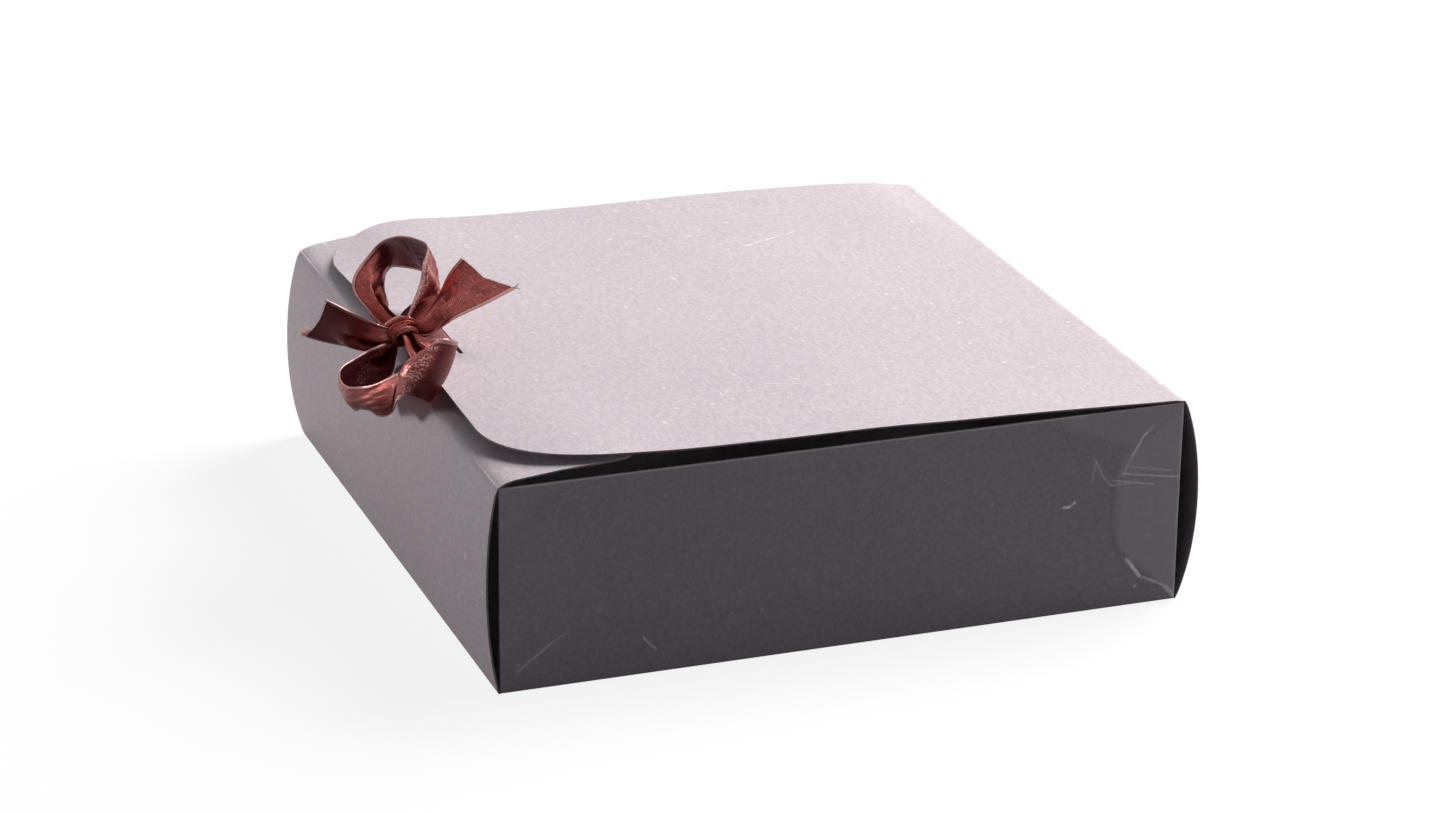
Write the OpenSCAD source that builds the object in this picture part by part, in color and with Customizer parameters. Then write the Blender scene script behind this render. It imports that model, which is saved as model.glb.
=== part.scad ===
// Folding gift carton with a hinged lid, a tucked front flap and a satin ribbon bow.
// Origin: centre of the underside. +X right, +Y back, +Z up. The ribbon side faces -Y.

/* [Carton] */
// Width of the carton, along its creases
box_w = 200; // [140:1:300]
// Depth of the carton, from the front crease to the lid's crease
box_d = 200; // [140:1:300]
// Height of the walls
box_h = 60; // [45:1:120]
// Thickness of the card
card_t = 0.5; // [0.35:0.05:0.8]
// How far the front wall bows out at mid height
front_bow = 4; // [1:0.5:7]
// How far the back wall bows out at mid height
back_bow = 5; // [1:0.5:8]

/* [Lid] */
// Distance that the lid stops short of the front crease
lid_setback = 3.5; // [1:0.25:4.5]
// Height of the closed lid's front edge above the wall tops
lid_lift = 5.7; // [4.5:0.1:9]
// Crown of the lid between its crease and its front edge
lid_crown = 1.2; // [0.6:0.1:3]
// Radius of the lid's two front corners
lid_corner_r = 30; // [8:1:45]
// Length of the ribbon slot
slot_len = 32; // [24:1:40]
// Width of the ribbon slot
slot_w = 1.2; // [1:0.1:2]
// Distance of the ribbon slot behind the lid's front edge
slot_setback = 12.5; // [8:0.5:20]

/* [Front flap] */
// Depth of the flap, from its crease to its free edge
flap_depth = 40; // [25:1:60]
// Radius of the flap's two free corners
flap_corner_r = 6; // [2:0.5:12]
// Crown of the flap between its crease and its free edge
flap_crown = 0.7; // [0.3:0.1:1.5]
// Gap between the flap's free edge and the lid above it
flap_gap = 0.5; // [0.3:0.1:1]

/* [Corner tabs] */
// Reach of a glue tab behind its end wall
tab_w = 19.5; // [10:0.5:30]
// Distance of a tab's root from the base and from the wall's top
tab_inset = 1.5; // [1:0.25:4]
// Bevel of a tab's lower edge, in degrees
tab_foot_angle = 39; // [20:1:50]
// Bevel of a tab's upper edge, in degrees
tab_head_angle = 36; // [20:1:50]
// Radius of a tab's free corners
tab_corner_r = 7; // [2:0.5:9]

/* [Ribbon] */
// Width of the satin ribbon
ribbon_w = 20; // [15:0.5:21]
// Thickness of the satin ribbon
ribbon_t = 0.3; // [0.2:0.05:0.5]
// Radius of the knot across its middle
knot_r = 4.8; // [4:0.1:5]
// Length of the knot along the lid's front edge
knot_len = 9; // [7:0.5:10]

/* [Hidden] */

card_colour = [0.33, 0.30, 0.34];
lid_colour = [0.62, 0.57, 0.60];
ribbon_colour = [0.50, 0.22, 0.20];

crease_gap = 0.05;      // clearance left at each crease
strap_gap = 0.15;       // clearance between the ribbon and the card it wraps
arc_faces = 1440;       // faces of a whole circle on the large bow radii
corner_faces = 96;      // faces of a whole circle on the corner radii
over = 1;               // how far a cutter runs past what it cuts
drawn_w = 20;           // ribbon width that the routes are drawn for

// Radius of the arc that stands `bow` proud of a chord, and the slope at its ends
function bow_radius(chord, bow) = chord * chord / (8 * bow) + bow / 2;
function end_slope(chord, bow) = asin(chord / 2 / bow_radius(chord, bow));

// Depth that a bowed wall takes up at its foot, where the card leans
function wall_foot(bow) = card_t / cos(end_slope(box_h, bow)) + crease_gap;

lid_reach = box_d - lid_setback;
lid_pitch = atan(lid_lift / lid_reach);
lid_chord = norm([lid_reach, lid_lift]);
lid_front = [0, -box_d / 2 + lid_setback, box_h + lid_lift];

// Height of the lid's top face above the wall tops, and its slope, at distance u from its crease
function lid_rise(u) = lid_lift * u / lid_reach + 4 * lid_crown * u / lid_reach * (1 - u / lid_reach);
function lid_slope(u) = lid_lift / lid_reach + 4 * lid_crown / lid_reach * (1 - 2 * u / lid_reach);

flap_lift = lid_rise(box_d - flap_depth) - card_t - flap_gap;
flap_pitch = atan(flap_lift / flap_depth);
flap_chord = norm([flap_depth, flap_lift]);

// Middle of the knot, from the middle of the lid's front edge
knot_seat = [1.5, -0.5, 2.5];
// Half the height of the tunnel that the strap leaves round the card, and of the strap outside
strap_in = card_t / 2 + strap_gap;
strap_out = strap_in + ribbon_t;
// Length of the margin that the strap wraps, so that its back run hangs in the middle of the slot
strap_len = slot_setback - (strap_in + strap_out) / 2;
strap_pitch = atan(lid_slope(lid_reach - slot_setback / 2));

wall_top = box_h - card_t - crease_gap;
end_wall_top = wall_top - 2 * crease_gap;

// ---------- Card ----------

// Section of a sheet bent to an arc: its outer face spans the chord from the origin along +X
module bent_section(chord, bow) {
    r = bow_radius(chord, bow);
    intersection() {
        translate([chord / 2, bow - r])
            difference() {
                circle(r, $fn = arc_faces);
                circle(r - card_t, $fn = arc_faces);
            }
        translate([0, -2 * card_t])
            square([chord, bow + 3 * card_t]);
    }
}

// Bent sheet as wide as the carton: it starts at the front crease line and runs back and up at `pitch`
module bent_sheet(pitch, chord, bow) {
    rotate([90, 0, 90])
        linear_extrude(box_w, center = true)
            rotate(pitch)
                bent_section(chord, bow);
}

// Plan of a panel with two round corners at its far edge: x across, y from its crease
module panel_plan(depth, r) {
    translate([-box_w / 2, -over])
        square([box_w, depth + over - r]);
    translate([-box_w / 2 + r, 0])
        square([box_w - 2 * r, depth]);
    for (side = [-1, 1])
        translate([side * (box_w / 2 - r), depth - r])
            circle(r, $fn = corner_faces);
}

// Wall that rises from the front crease line and bows towards -Y
module bowed_wall(bow) {
    intersection() {
        bent_sheet(90, box_h, bow);
        translate([-box_w / 2, -2 * bow - over, 0])
            cube([box_w, 4 * bow + 2 * over, wall_top]);
    }
}

module base_panel() {
    front = -box_d / 2 + wall_foot(front_bow);
    back = box_d / 2 - wall_foot(back_bow);
    width = box_w - 2 * (card_t + crease_gap);
    color(card_colour)
        translate([-width / 2, front, 0])
            cube([width, back - front, card_t]);
}

module front_wall() {
    color(card_colour)
        translate([0, -box_d / 2, 0])
            bowed_wall(front_bow);
}

module back_wall() {
    color(card_colour)
        translate([0, box_d / 2, 0])
            mirror([0, 1, 0])
                bowed_wall(back_bow);
}

module end_wall() {
    front = -box_d / 2 + wall_foot(front_bow);
    back = box_d / 2 - wall_foot(back_bow);
    color(card_colour)
        translate([box_w / 2 - card_t, front, 0])
            cube([card_t, back - front, end_wall_top]);
}

// Points of a rounded corner: an arc of radius r about centre c
function corner_arc(c, r, from, to, steps = 6) =
    [for (i = [0:steps]) c + r * [cos(from + (to - from) * i / steps), sin(from + (to - from) * i / steps)]];

// Outline of a glue tab: x is the reach from its root at the wall's upright edge, y is the height
module tab_outline() {
    low = card_t + tab_inset;
    high = end_wall_top - tab_inset;
    // The bevels meet the straight free edge through a round corner that touches both lines
    low_c = [tab_w - tab_corner_r, low + (tab_w - tab_corner_r) * tan(tab_foot_angle)
        + tab_corner_r / cos(tab_foot_angle)];
    high_c = [tab_w - tab_corner_r, high - (tab_w - tab_corner_r) * tan(tab_head_angle)
        - tab_corner_r / cos(tab_head_angle)];
    polygon(concat(
        [[0, low]],
        corner_arc(low_c, tab_corner_r, tab_foot_angle - 90, 0),
        corner_arc(high_c, tab_corner_r, 0, 90 - tab_head_angle),
        [[0, high]]
    ));
}

// Glue tab behind the right end wall, rooted at the front wall's upright edge
module front_tab() {
    color(card_colour)
        translate([box_w / 2 - 2 * card_t, -box_d / 2 + wall_foot(front_bow), 0])
            rotate([90, 0, 90])
                linear_extrude(card_t)
                    tab_outline();
}

// Glue tab behind the right end wall, rooted at the back wall's upright edge
module back_tab() {
    color(card_colour)
        translate([box_w / 2 - 2 * card_t, box_d / 2 - wall_foot(back_bow), 0])
            mirror([0, 1, 0])
                rotate([90, 0, 90])
                    linear_extrude(card_t)
                        tab_outline();
}

module lid() {
    color(lid_colour)
        difference() {
            intersection() {
                mirror([0, 1, 0])
                    translate([0, -box_d / 2, box_h])
                        bent_sheet(lid_pitch, lid_chord, lid_crown);
                translate([0, box_d / 2, 0])
                    mirror([0, 1, 0])
                        linear_extrude(box_h + lid_lift + lid_crown + over)
                            panel_plan(lid_reach, lid_corner_r);
            }
            translate([0, lid_front.y + slot_setback, box_h])
                linear_extrude(lid_lift + lid_crown + over)
                    slot_outline();
        }
}

// Slot with round ends
module slot_outline() {
    square([slot_len - slot_w, slot_w], center = true);
    for (side = [-1, 1])
        translate([side * (slot_len - slot_w) / 2, 0])
            circle(slot_w / 2, $fn = corner_faces);
}

module front_flap() {
    color(card_colour)
        intersection() {
            translate([0, -box_d / 2, box_h])
                bent_sheet(flap_pitch, flap_chord, flap_crown);
            translate([0, -box_d / 2, 0])
                linear_extrude(box_h + lid_lift + lid_crown + over)
                    panel_plan(flap_depth, flap_corner_r);
        }
}

// ---------- Ribbon ----------

// A route is a list of stations [near edge, far edge], measured from the middle of the lid's front edge,
// on its top face. Where its edges draw together, the ribbon is gathered between them.
left_loop_route = [
    [[-3.5, -3, 4.5], [-4, 0.5, 2]],
    [[-6.5, -5.5, 5.5], [-6, -1, 3.5]],
    [[-9.5, -8, 9], [-7.5, -2, 4.5]],
    [[-13, -10.5, 12.5], [-12, -0.5, 6]],
    [[-15, -9, 16.5], [-17.5, -0.5, 8.5]],
    [[-16, -5.5, 20], [-23, 0.5, 11]],
    [[-16.5, -1.5, 23.5], [-27, 5.5, 12]],
    [[-15.5, 2.5, 25], [-26, 11, 11]],
    [[-12.5, 6.5, 25.5], [-22, 15, 10]],
    [[-8.5, 10, 24.5], [-18, 16, 8]],
    [[-4.5, 8, 21.5], [-14, 13.5, 5]],
    [[-3.5, 6, 15.5], [-8.5, 10, 3.5]],
    [[-2, 4.5, 11], [-4.5, 6.5, 4.5]],
    [[-0.5, 4, 7.5], [-2, 5.5, 4.5]]
];
right_loop_route = [
    [[7, 2, 3.5], [7, -1.5, 1.5]],
    [[16, 1.5, 5.5], [13, -1.5, 1]],
    [[24, 3, 8.5], [20, -6, -0.5]],
    [[31, 4, 10.5], [26, -8, -3]],
    [[37, 4.5, 12], [33, -6.5, -4]],
    [[41, 4, 13], [39, -4.5, -4.5]],
    [[45.5, 0, 15.5], [42.5, -8, -2]],
    [[45.5, -3, 16], [42, -10.5, -1]],
    [[43.5, -5, 12.5], [38.5, -12.5, -3]],
    [[41.5, -5, 9], [36, -12.5, -5.5]],
    [[39, -8, 6.5], [33, -12.5, -8.5]],
    [[36.5, -11, 4.5], [30, -13.5, -10.5]],
    [[33.5, -14, 2], [26.5, -15, -11.5]],
    [[29.5, -17, -1], [22, -16, -11.5]],
    [[24.5, -20, -3], [17, -16.5, -13]],
    [[20, -22, -4], [12.5, -17, -14.5]],
    [[16.5, -23, -3], [8.5, -16.5, -16]],
    [[14.5, -22, -1], [5, -15.5, -13.5]],
    [[11.5, -18, -0.5], [4, -12.5, -10.5]],
    [[7.5, -12, 0], [3, -10, -6.5]],
    [[5, -7.5, 0], [2.5, -6.5, -3]]
];
front_tail_route = [
    [[1.5, -6, 4], [-1.5, -6, -0.5]],
    [[2, -10.5, 7.5], [-3.5, -10.5, -3]],
    [[2, -14.5, 9.5], [-7, -15, -3]],
    [[1.5, -18.5, 12.5], [-10, -20, -2]],
    [[0.5, -22.5, 15], [-12, -25, -0.5]]
];
back_tail_route = [
    [[3, 4.5, 3.5], [8, 4.5, 3.5]],
    [[0.5, 9.5, 10], [10, 9.5, 7.5]],
    [[-4, 15, 16], [14.5, 19, 13]],
    [[-1, 18, 22], [15, 29, 17]]
];

function unit(v) = v / norm(v);

// Catmull-Rom blend of four neighbouring values
function blend(a, b, c, d, t) =
    0.5 * (2 * b + (c - a) * t + (2 * a - 5 * b + 4 * c - d) * t * t + (3 * b - a - 3 * c + d) * t * t * t);

// Point of one edge of a route at station i + t, with the ends held
function edge_at(route, edge, i, t) =
    let (n = len(route) - 1, p = function (k) route[max(0, min(n, k))][edge])
        blend(p(i - 1), p(i), p(i + 1), p(i + 2), t);

// The route with `steps` stations between each pair of its own
function smooth_route(route, steps) = [
    for (k = [0:(len(route) - 1) * steps])
        let (i = min(floor(k / steps), len(route) - 2), t = k / steps - i)
            [for (edge = [0:1]) edge_at(route, edge, i, t)]
];

// Ribbon swept along a route, as one closed solid
module ribbon(route, steps = 3) {
    path = smooth_route(route, steps);
    middles = [for (s = path) (s[0] + s[1]) / 2];
    last = len(path) - 1;
    points = [
        for (i = [0:last])
            let (
                across = (path[i][1] - path[i][0]) / 2 * ribbon_w / drawn_w,
                along = middles[min(i + 1, last)] - middles[max(i - 1, 0)],
                out = unit(cross(along, across)) * ribbon_t / 2,
                near = middles[i] - across,
                far = middles[i] + across
            )
                each [near + out, far + out, far - out, near - out]
    ];
    ring = 4;
    // Both broad faces are split from near edge to far edge, so that they run side by side where it twists
    sides = [
        for (i = [0:last - 1], j = [0:ring - 1])
            let (a = ring * i + j, b = ring * i + (j + 1) % ring)
                each j < 2
                    ? [[a, b, b + ring], [a, b + ring, a + ring]]
                    : [[a, b, a + ring], [b, b + ring, a + ring]]
    ];
    root = [[0, 3, 2], [0, 2, 1]];
    caps = [for (f = root) each [f, [for (k = [2:-1:0]) f[k] + ring * last]]];
    color(ribbon_colour)
        translate(lid_front)
            polyhedron(points, concat(sides, caps), convexity = 6);
}

module bow_left_loop() {
    ribbon(left_loop_route);
}

module bow_right_loop() {
    ribbon(right_loop_route);
}

module bow_front_tail() {
    ribbon(front_tail_route, 4);
}

module bow_back_tail() {
    ribbon(back_tail_route, 4);
}

// Section round the lid's front margin, from the edge to the slot, with round ends of radius r
module margin_section(r) {
    translate([0, -r])
        square([strap_len, 2 * r]);
    for (end = [0, strap_len])
        translate([end, 0])
            circle(r, $fn = corner_faces);
}

// Ribbon round the lid's front margin: it passes down through the slot and back round the edge
module ribbon_strap() {
    color(ribbon_colour)
        translate(lid_front)
            rotate([-strap_pitch, 0, 0])
                translate([0, 0, -card_t / 2])
                    rotate([90, 0, 90])
                        linear_extrude(ribbon_w, center = true)
                            difference() {
                                margin_section(strap_out);
                                margin_section(strap_in);
                            }
}

// Gathered band round the roots of the loops, pressed over the lid's front edge
module bow_knot() {
    color(ribbon_colour)
        translate(lid_front)
            difference() {
                translate(knot_seat)
                    rotate([0, 90, 0])
                        rotate_extrude($fn = corner_faces)
                            knot_profile();
                strap_room();
            }
}

// Room that the knot leaves for the strap, below and behind the lid's front edge
module strap_room() {
    reach = strap_out + card_t / 2 + strap_gap;
    span = knot_len + 2 * norm(knot_seat);
    translate([-span / 2, -reach, reach - card_t - span])
        cube([span, span, span]);
}

// Half section of the knot: two pleats side by side
module knot_profile() {
    pleat_r = knot_len / 4;
    translate([0, -knot_len / 2])
        square([knot_r - pleat_r, knot_len]);
    for (side = [-1, 1])
        translate([knot_r - pleat_r, side * pleat_r])
            circle(pleat_r, $fn = corner_faces);
}

base_panel();
front_wall();
back_wall();
end_wall();  // right_end_wall
mirror([1, 0, 0]) end_wall();  // left_end_wall
front_tab();  // tab_front_right
mirror([1, 0, 0]) front_tab();  // tab_front_left
back_tab();  // tab_back_right
mirror([1, 0, 0]) back_tab();  // tab_back_left
lid();
front_flap();
ribbon_strap();
bow_knot();
bow_left_loop();
bow_right_loop();
bow_front_tail();
bow_back_tail();
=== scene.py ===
"""Folding gift carton of pearl card, closed with a bow of satin ribbon."""

import logging
import math
from dataclasses import dataclass, field
from enum import Enum
from typing import Any, Callable, Sequence

import bmesh
import bpy
import numpy as np
from mathutils import Matrix, Vector
from mathutils.geometry import delaunay_2d_cdt


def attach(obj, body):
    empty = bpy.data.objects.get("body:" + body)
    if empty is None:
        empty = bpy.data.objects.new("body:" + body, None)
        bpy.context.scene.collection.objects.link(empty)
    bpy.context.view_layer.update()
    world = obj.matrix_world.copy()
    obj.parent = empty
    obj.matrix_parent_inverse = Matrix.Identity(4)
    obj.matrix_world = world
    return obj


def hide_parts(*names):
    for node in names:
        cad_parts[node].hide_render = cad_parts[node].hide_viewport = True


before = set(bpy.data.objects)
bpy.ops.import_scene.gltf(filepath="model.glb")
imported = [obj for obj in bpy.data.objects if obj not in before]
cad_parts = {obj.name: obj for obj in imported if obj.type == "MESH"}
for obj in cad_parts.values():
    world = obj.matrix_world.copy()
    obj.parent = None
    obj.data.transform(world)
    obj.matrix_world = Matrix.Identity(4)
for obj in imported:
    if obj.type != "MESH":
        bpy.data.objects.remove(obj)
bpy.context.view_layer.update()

LOG = logging.getLogger("gift_box")
MM = 0.001
Point = tuple[float, float, float]


# ---------------------------------------------------------------- shader maths


def math_method(operation: str) -> Callable[..., "Sock"]:
    """A method that adds the Math node of that name, which takes its own socket first."""
    return lambda self, *others: self.graph.math(operation, self, *others)


class Sock:
    """A node's socket that Python expressions can be written with."""

    def __init__(self, graph: "Graph", link: Any) -> None:
        """Wraps a socket.

        Args:
            graph: The graph that new nodes go into.
            link: The output socket.
        """
        self.graph = graph
        self.link = link

    __add__ = __radd__ = math_method("ADD")
    __sub__ = math_method("SUBTRACT")
    __mul__ = __rmul__ = math_method("MULTIPLY")
    __truediv__ = math_method("DIVIDE")
    __pow__ = math_method("POWER")
    __abs__ = math_method("ABSOLUTE")
    sine = math_method("SINE")
    least = math_method("MINIMUM")
    most = math_method("MAXIMUM")

    def __rsub__(self, other: float) -> "Sock":
        """The difference from a number."""
        return self.graph.math("SUBTRACT", other, self)


class Graph:
    """A node tree, written as expressions."""

    def __init__(self, tree: Any) -> None:
        """Takes the shader or geometry node tree that new nodes go into."""
        self.tree = tree

    def fill(self, node: Any, values: dict[Any, Any]) -> Any:
        """Gives a node's inputs their numbers, colours or sockets, by name or index."""
        for key, value in values.items():
            socket = node.inputs[key]
            if isinstance(value, Sock):
                self.tree.links.new(value.link, socket)
            elif socket.type == "RGBA" and len(value) == 3:
                socket.default_value = (*value, 1.0)
            else:
                socket.default_value = value
        return node

    def add(self, kind: str, values: dict[Any, Any] | None = None, **settings: Any) -> Any:
        """Adds one node.

        Args:
            kind: The node's type name.
            values: Numbers, colours or sockets for its inputs, by name or index.
            **settings: Its own settings, which are set first.

        Returns:
            The node.
        """
        node = self.tree.nodes.new(kind)
        for key, value in settings.items():
            setattr(node, key, value)
        return self.fill(node, values or {})

    def made(
        self, kind: str, values: dict[Any, Any] | None = None, out: Any = 0, **settings: Any
    ) -> Sock:
        """Adds one node and gives one of its outputs."""
        return Sock(self, self.add(kind, values, **settings).outputs[out])

    def math(self, operation: str, *values: Any) -> Sock:
        """Adds a Math node."""
        return self.made("ShaderNodeMath", dict(enumerate(values)), operation=operation)

    def axes(self, vector: Sock) -> list[Sock]:
        """The three parts of a vector."""
        return [Sock(self, part) for part in self.add("ShaderNodeSeparateXYZ", {0: vector}).outputs]

    def rays(self) -> list[Sock]:
        """Whether a ray comes from the eye, from gloss, and through glass."""
        path = self.add("ShaderNodeLightPath")
        kinds = ("Camera", "Glossy", "Transmission")
        return [Sock(self, path.outputs[f"Is {kind} Ray"]) for kind in kinds]

    def ramp(
        self, value: Sock, low: float, high: float, first: float = 0.0, last: float = 1.0
    ) -> Sock:
        """The value moved smoothly from first to last as it goes from low to high."""
        ends = {"From Min": low, "From Max": high, "To Min": first, "To Max": last}
        return self.made(
            "ShaderNodeMapRange", {"Value": value, **ends}, interpolation_type="SMOOTHSTEP"
        )


class Finish(Graph):
    """Node tree of one material."""

    def __init__(self, name: str) -> None:
        """Makes an empty material of that name."""
        self.material = bpy.data.materials.new(name)
        self.material.use_nodes = True
        super().__init__(self.material.node_tree)
        self.tree.nodes.clear()

    def place(self) -> Sock:
        """The point's own place on the piece, in metres."""
        return self.made("ShaderNodeTexCoord", out="Object")

    def ribbon_place(self) -> Sock:
        """The point's place on the flat ribbon: length, width, in metres."""
        return self.made("ShaderNodeUVMap", out="UV", uv_map="flat")

    def attribute(self, name: str) -> Sock:
        """A number stored on the mesh's points."""
        return self.made("ShaderNodeAttribute", out="Fac", attribute_name=name)

    def stretched(self, vector: Sock, scale: Point, turn: float = 0.0) -> Sock:
        """The vector scaled along each axis, after a turn about Z in degrees."""
        values = {"Vector": vector, "Rotation": (0.0, 0.0, math.radians(turn)), "Scale": scale}
        return self.made("ShaderNodeMapping", values, vector_type="POINT")

    def noise(self, vector: Sock, scale: float, detail: float, rough: float = 0.5) -> Sock:
        """Smooth noise between 0 and 1."""
        values = {"Vector": vector, "Scale": scale, "Detail": detail, "Roughness": rough}
        return self.made("ShaderNodeTexNoise", values, out="Fac")

    def blend(self, factor: Any, first: Any, second: Any) -> Sock:
        """Two colours mixed by a factor."""
        return self.made("ShaderNodeMix", {0: factor, 6: first, 7: second}, out=2, data_type="RGBA")

    def layers(self, tone: Any, *layers: tuple[Any, Any]) -> Sock:
        """Colours laid over each other.

        Args:
            tone: The colour that lies lowest.
            *layers: The strength and the colour of each layer, from the lowest.

        Returns:
            The colour that shows.
        """
        for strength, colour in layers:
            tone = self.blend(strength, tone, colour)
        return tone

    def bump(self, height: Sock, distance: float, strength: float) -> Sock:
        """Normal of a surface with that height, in metres times distance."""
        return self.made("ShaderNodeBump", {"Height": height, "Distance": distance, "Strength": strength})

    def end(self, shader: Sock) -> bpy.types.Material:
        """Ends the graph in a shader and gives the material."""
        self.add("ShaderNodeOutputMaterial", {"Surface": shader})
        return self.material

    def finish(self, values: dict[str, Any]) -> bpy.types.Material:
        """Ends the graph in a Principled surface with those inputs, and gives the material."""
        return self.end(self.made("ShaderNodeBsdfPrincipled", values))


class ShapeTree(Graph):
    """Geometry node tree with named inputs, which shapes a mesh by a rule."""

    def __init__(self, name: str, numbers: Sequence[str], materials: Sequence[str]) -> None:
        """Makes the tree with its inputs.

        Args:
            name: The tree's name.
            numbers: Names of its sizes and seeds.
            materials: Names of its materials.
        """
        super().__init__(bpy.data.node_groups.new(name, "GeometryNodeTree"))
        face = self.tree.interface
        kinds = {"Shape": "Geometry"} | dict.fromkeys(numbers, "Float")
        kinds |= dict.fromkeys(materials, "Material")
        self.keys = {
            key: face.new_socket(key, in_out="INPUT", socket_type=f"NodeSocket{kind}").identifier
            for key, kind in kinds.items()
        }
        face.new_socket("Shape", in_out="OUTPUT", socket_type="NodeSocketGeometry")
        self.inputs = self.add("NodeGroupInput")

    def given(self, name: str) -> Sock:
        """One named input."""
        return Sock(self, self.inputs.outputs[name])

    def stored(self, name: str, kind: str) -> Sock:
        """A value stored on the mesh."""
        return self.made("GeometryNodeInputNamedAttribute", {"Name": name}, data_type=kind)

    def end(self, shape: Sock, materials: dict[str, dict[str, Sock]]) -> None:
        """Ends the tree in real geometry with its materials.

        Args:
            shape: The geometry.
            materials: Names of the material inputs, and the selection that each is laid on.
        """
        shape = self.made("GeometryNodeRealizeInstances", {"Geometry": shape})
        for name, where in materials.items():
            values = {"Geometry": shape, "Material": self.given(name), **where}
            shape = self.made("GeometryNodeSetMaterial", values)
        self.add("NodeGroupOutput", {"Shape": shape})

    def run(self, piece: bpy.types.Object, values: dict[str, Any]) -> bpy.types.Object:
        """Shapes a piece with the tree and leaves it a plain mesh.

        Args:
            piece: The object that the tree starts from.
            values: The tree's inputs by name.

        Returns:
            The same object with its new mesh.
        """
        modifier = piece.modifiers.new(self.tree.name, "NODES")
        modifier.node_group = self.tree
        for name, value in values.items():
            modifier[self.keys[name]] = value
        graph = bpy.context.evaluated_depsgraph_get()
        mesh = bpy.data.meshes.new_from_object(piece.evaluated_get(graph), depsgraph=graph)
        piece.modifiers.remove(modifier)
        piece.data = mesh
        return piece


# ---------------------------------------------------------------- finishes


@dataclass(frozen=True)
class Mark:
    """A thin pale or dark line on a panel, between two points of it, in metres: a scuff, a painted
    highlight along a fold or edge, or a darker line.
    """

    start: tuple[float, float]
    end: tuple[float, float]
    width: float = 0.00022
    strength: float = 1.0

    def on(self, g: Finish, across: Sock, up: Sock) -> Sock:
        """How strongly a point is marked.

        Args:
            g: The material's graph.
            across: The point's first coordinate in the panel's plane.
            up: Its second coordinate.

        Returns:
            The mark's strength on the line and 0 clear of it.
        """
        run = (self.end[0] - self.start[0], self.end[1] - self.start[1])
        size = run[0] ** 2 + run[1] ** 2
        x, y = across - self.start[0], up - self.start[1]
        along = ((x * run[0] + y * run[1]) / size).most(0.0).least(1.0)
        away = ((x - along * run[0]) ** 2 + (y - along * run[1]) ** 2) ** 0.5
        return g.ramp(away, self.width * 0.35, self.width, self.strength, 0.0)


@dataclass(frozen=True)
class PearlCard:
    """Uncoated pearl card: lilac-grey stock with a cloudy fibre mottle and the wear of handling.

    Patterns are sized in cells per metre. Rubbed, lift highlight and gleam are the strengths of the worn
    edge, of the painted highlight laid over a place that is pressed up from behind, and of the shine
    on a raised mark. The pale marks are painted highlights where folds and edges catch the light,
    with some scuffs.
    """

    name: str = "pearl_card"
    colour: Point = (0.64, 0.575, 0.60)
    shade: Point = (0.50, 0.44, 0.475)
    fleck: Point = (0.76, 0.69, 0.70)
    bright: Point = (0.86, 0.79, 0.81)
    # Colour of the pale marks: scuffs, and painted highlights on raised folds and edges
    scuff_and_highlight: Point = (0.95, 0.91, 0.94)
    dark_line: Point = (0.26, 0.22, 0.25)
    roughness: float = 0.55
    rubbed: float = 0.55
    # Strength of the painted highlight laid over places pressed up from behind
    lift_highlight: float = 0.6
    gleam: float = 0.14
    clouds: float = 16.0
    mottles: float = 620.0
    fibres: float = 1500.0
    specks: float = 460.0
    rubs: float = 90.0
    patches: float = 700.0
    edged: bool = True
    plane: tuple[int, int] = (0, 1)
    pale_marks: tuple[Mark, ...] = ()
    dark_marks: tuple[Mark, ...] = ()

    def build(self) -> bpy.types.Material:
        """Makes the material."""
        g = Finish(self.name)
        place = g.place()
        mottle = g.noise(g.stretched(place, (0.8, 1.25, 1.25), 8.0), self.mottles, 3.0, 0.65)
        fibre = g.noise(g.stretched(place, (1.0, 2.6, 2.2), 24.0), self.fibres, 3.0, 0.6)
        tone = g.layers(
            self.colour,
            (g.ramp(g.noise(place, self.clouds, 2.0), 0.3, 0.7, 0.0, 0.22), self.shade),
            (g.ramp(mottle, 0.36, 0.54, 0.5, 0.0), self.shade),
            (g.ramp(mottle, 0.50, 0.68, 0.0, 0.45), self.fleck),
            (g.ramp(fibre, 0.32, 0.47, 0.5, 0.0), self.shade),
            (g.ramp(fibre, 0.53, 0.70, 0.0, 0.6), self.fleck),
            (g.ramp(g.noise(place, self.specks, 0.0), 0.79, 0.83, 0.0, 0.7), self.bright),
        )
        if self.edged:
            rim = g.ramp(g.attribute("edge"), 0.0, 0.8, 1.0, 0.0)
            rub = rim * g.ramp(g.noise(place, self.rubs, 3.0), 0.35, 0.65, 0.3, 1.0)
            # Painted highlight: places pressed up by the glue tabs and facets behind an end wall are laid
            # on lighter, as where they catch the light
            painted_lift_highlight = g.attribute("painted_highlight") * self.lift_highlight
            tone = g.layers(tone, (painted_lift_highlight, self.bright), (rub * self.rubbed, self.bright))
        height = mottle * 0.5 + fibre * 0.5
        axes = g.axes(place)
        spots = [axes[k] for k in self.plane]
        patchy = g.ramp(g.noise(place, self.patches, 2.0), 0.42, 0.6, 0.45, 1.0)
        raised: Any = 0.0
        # Pale marks: painted highlights where raised folds and edges catch the light, and some scuffs
        for mark in self.pale_marks:
            there = mark.on(g, *spots)
            tone = g.blend(there * patchy, tone, self.scuff_and_highlight)
            height = height + there * 0.8
            raised = there.most(raised)
        for mark in self.dark_marks:
            there = mark.on(g, *spots)
            tone = g.blend(there * patchy * 0.6, tone, self.dark_line)
            height = height - there * 0.9
        return g.finish(
            {
                "Base Color": tone,
                "Metallic": raised * self.gleam,
                "Roughness": g.ramp(mottle, 0.3, 0.7, self.roughness - 0.05, self.roughness + 0.09),
                "Specular IOR Level": 0.16,
                "Normal": g.bump(height, 0.00006, 0.6),
            }
        )


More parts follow.
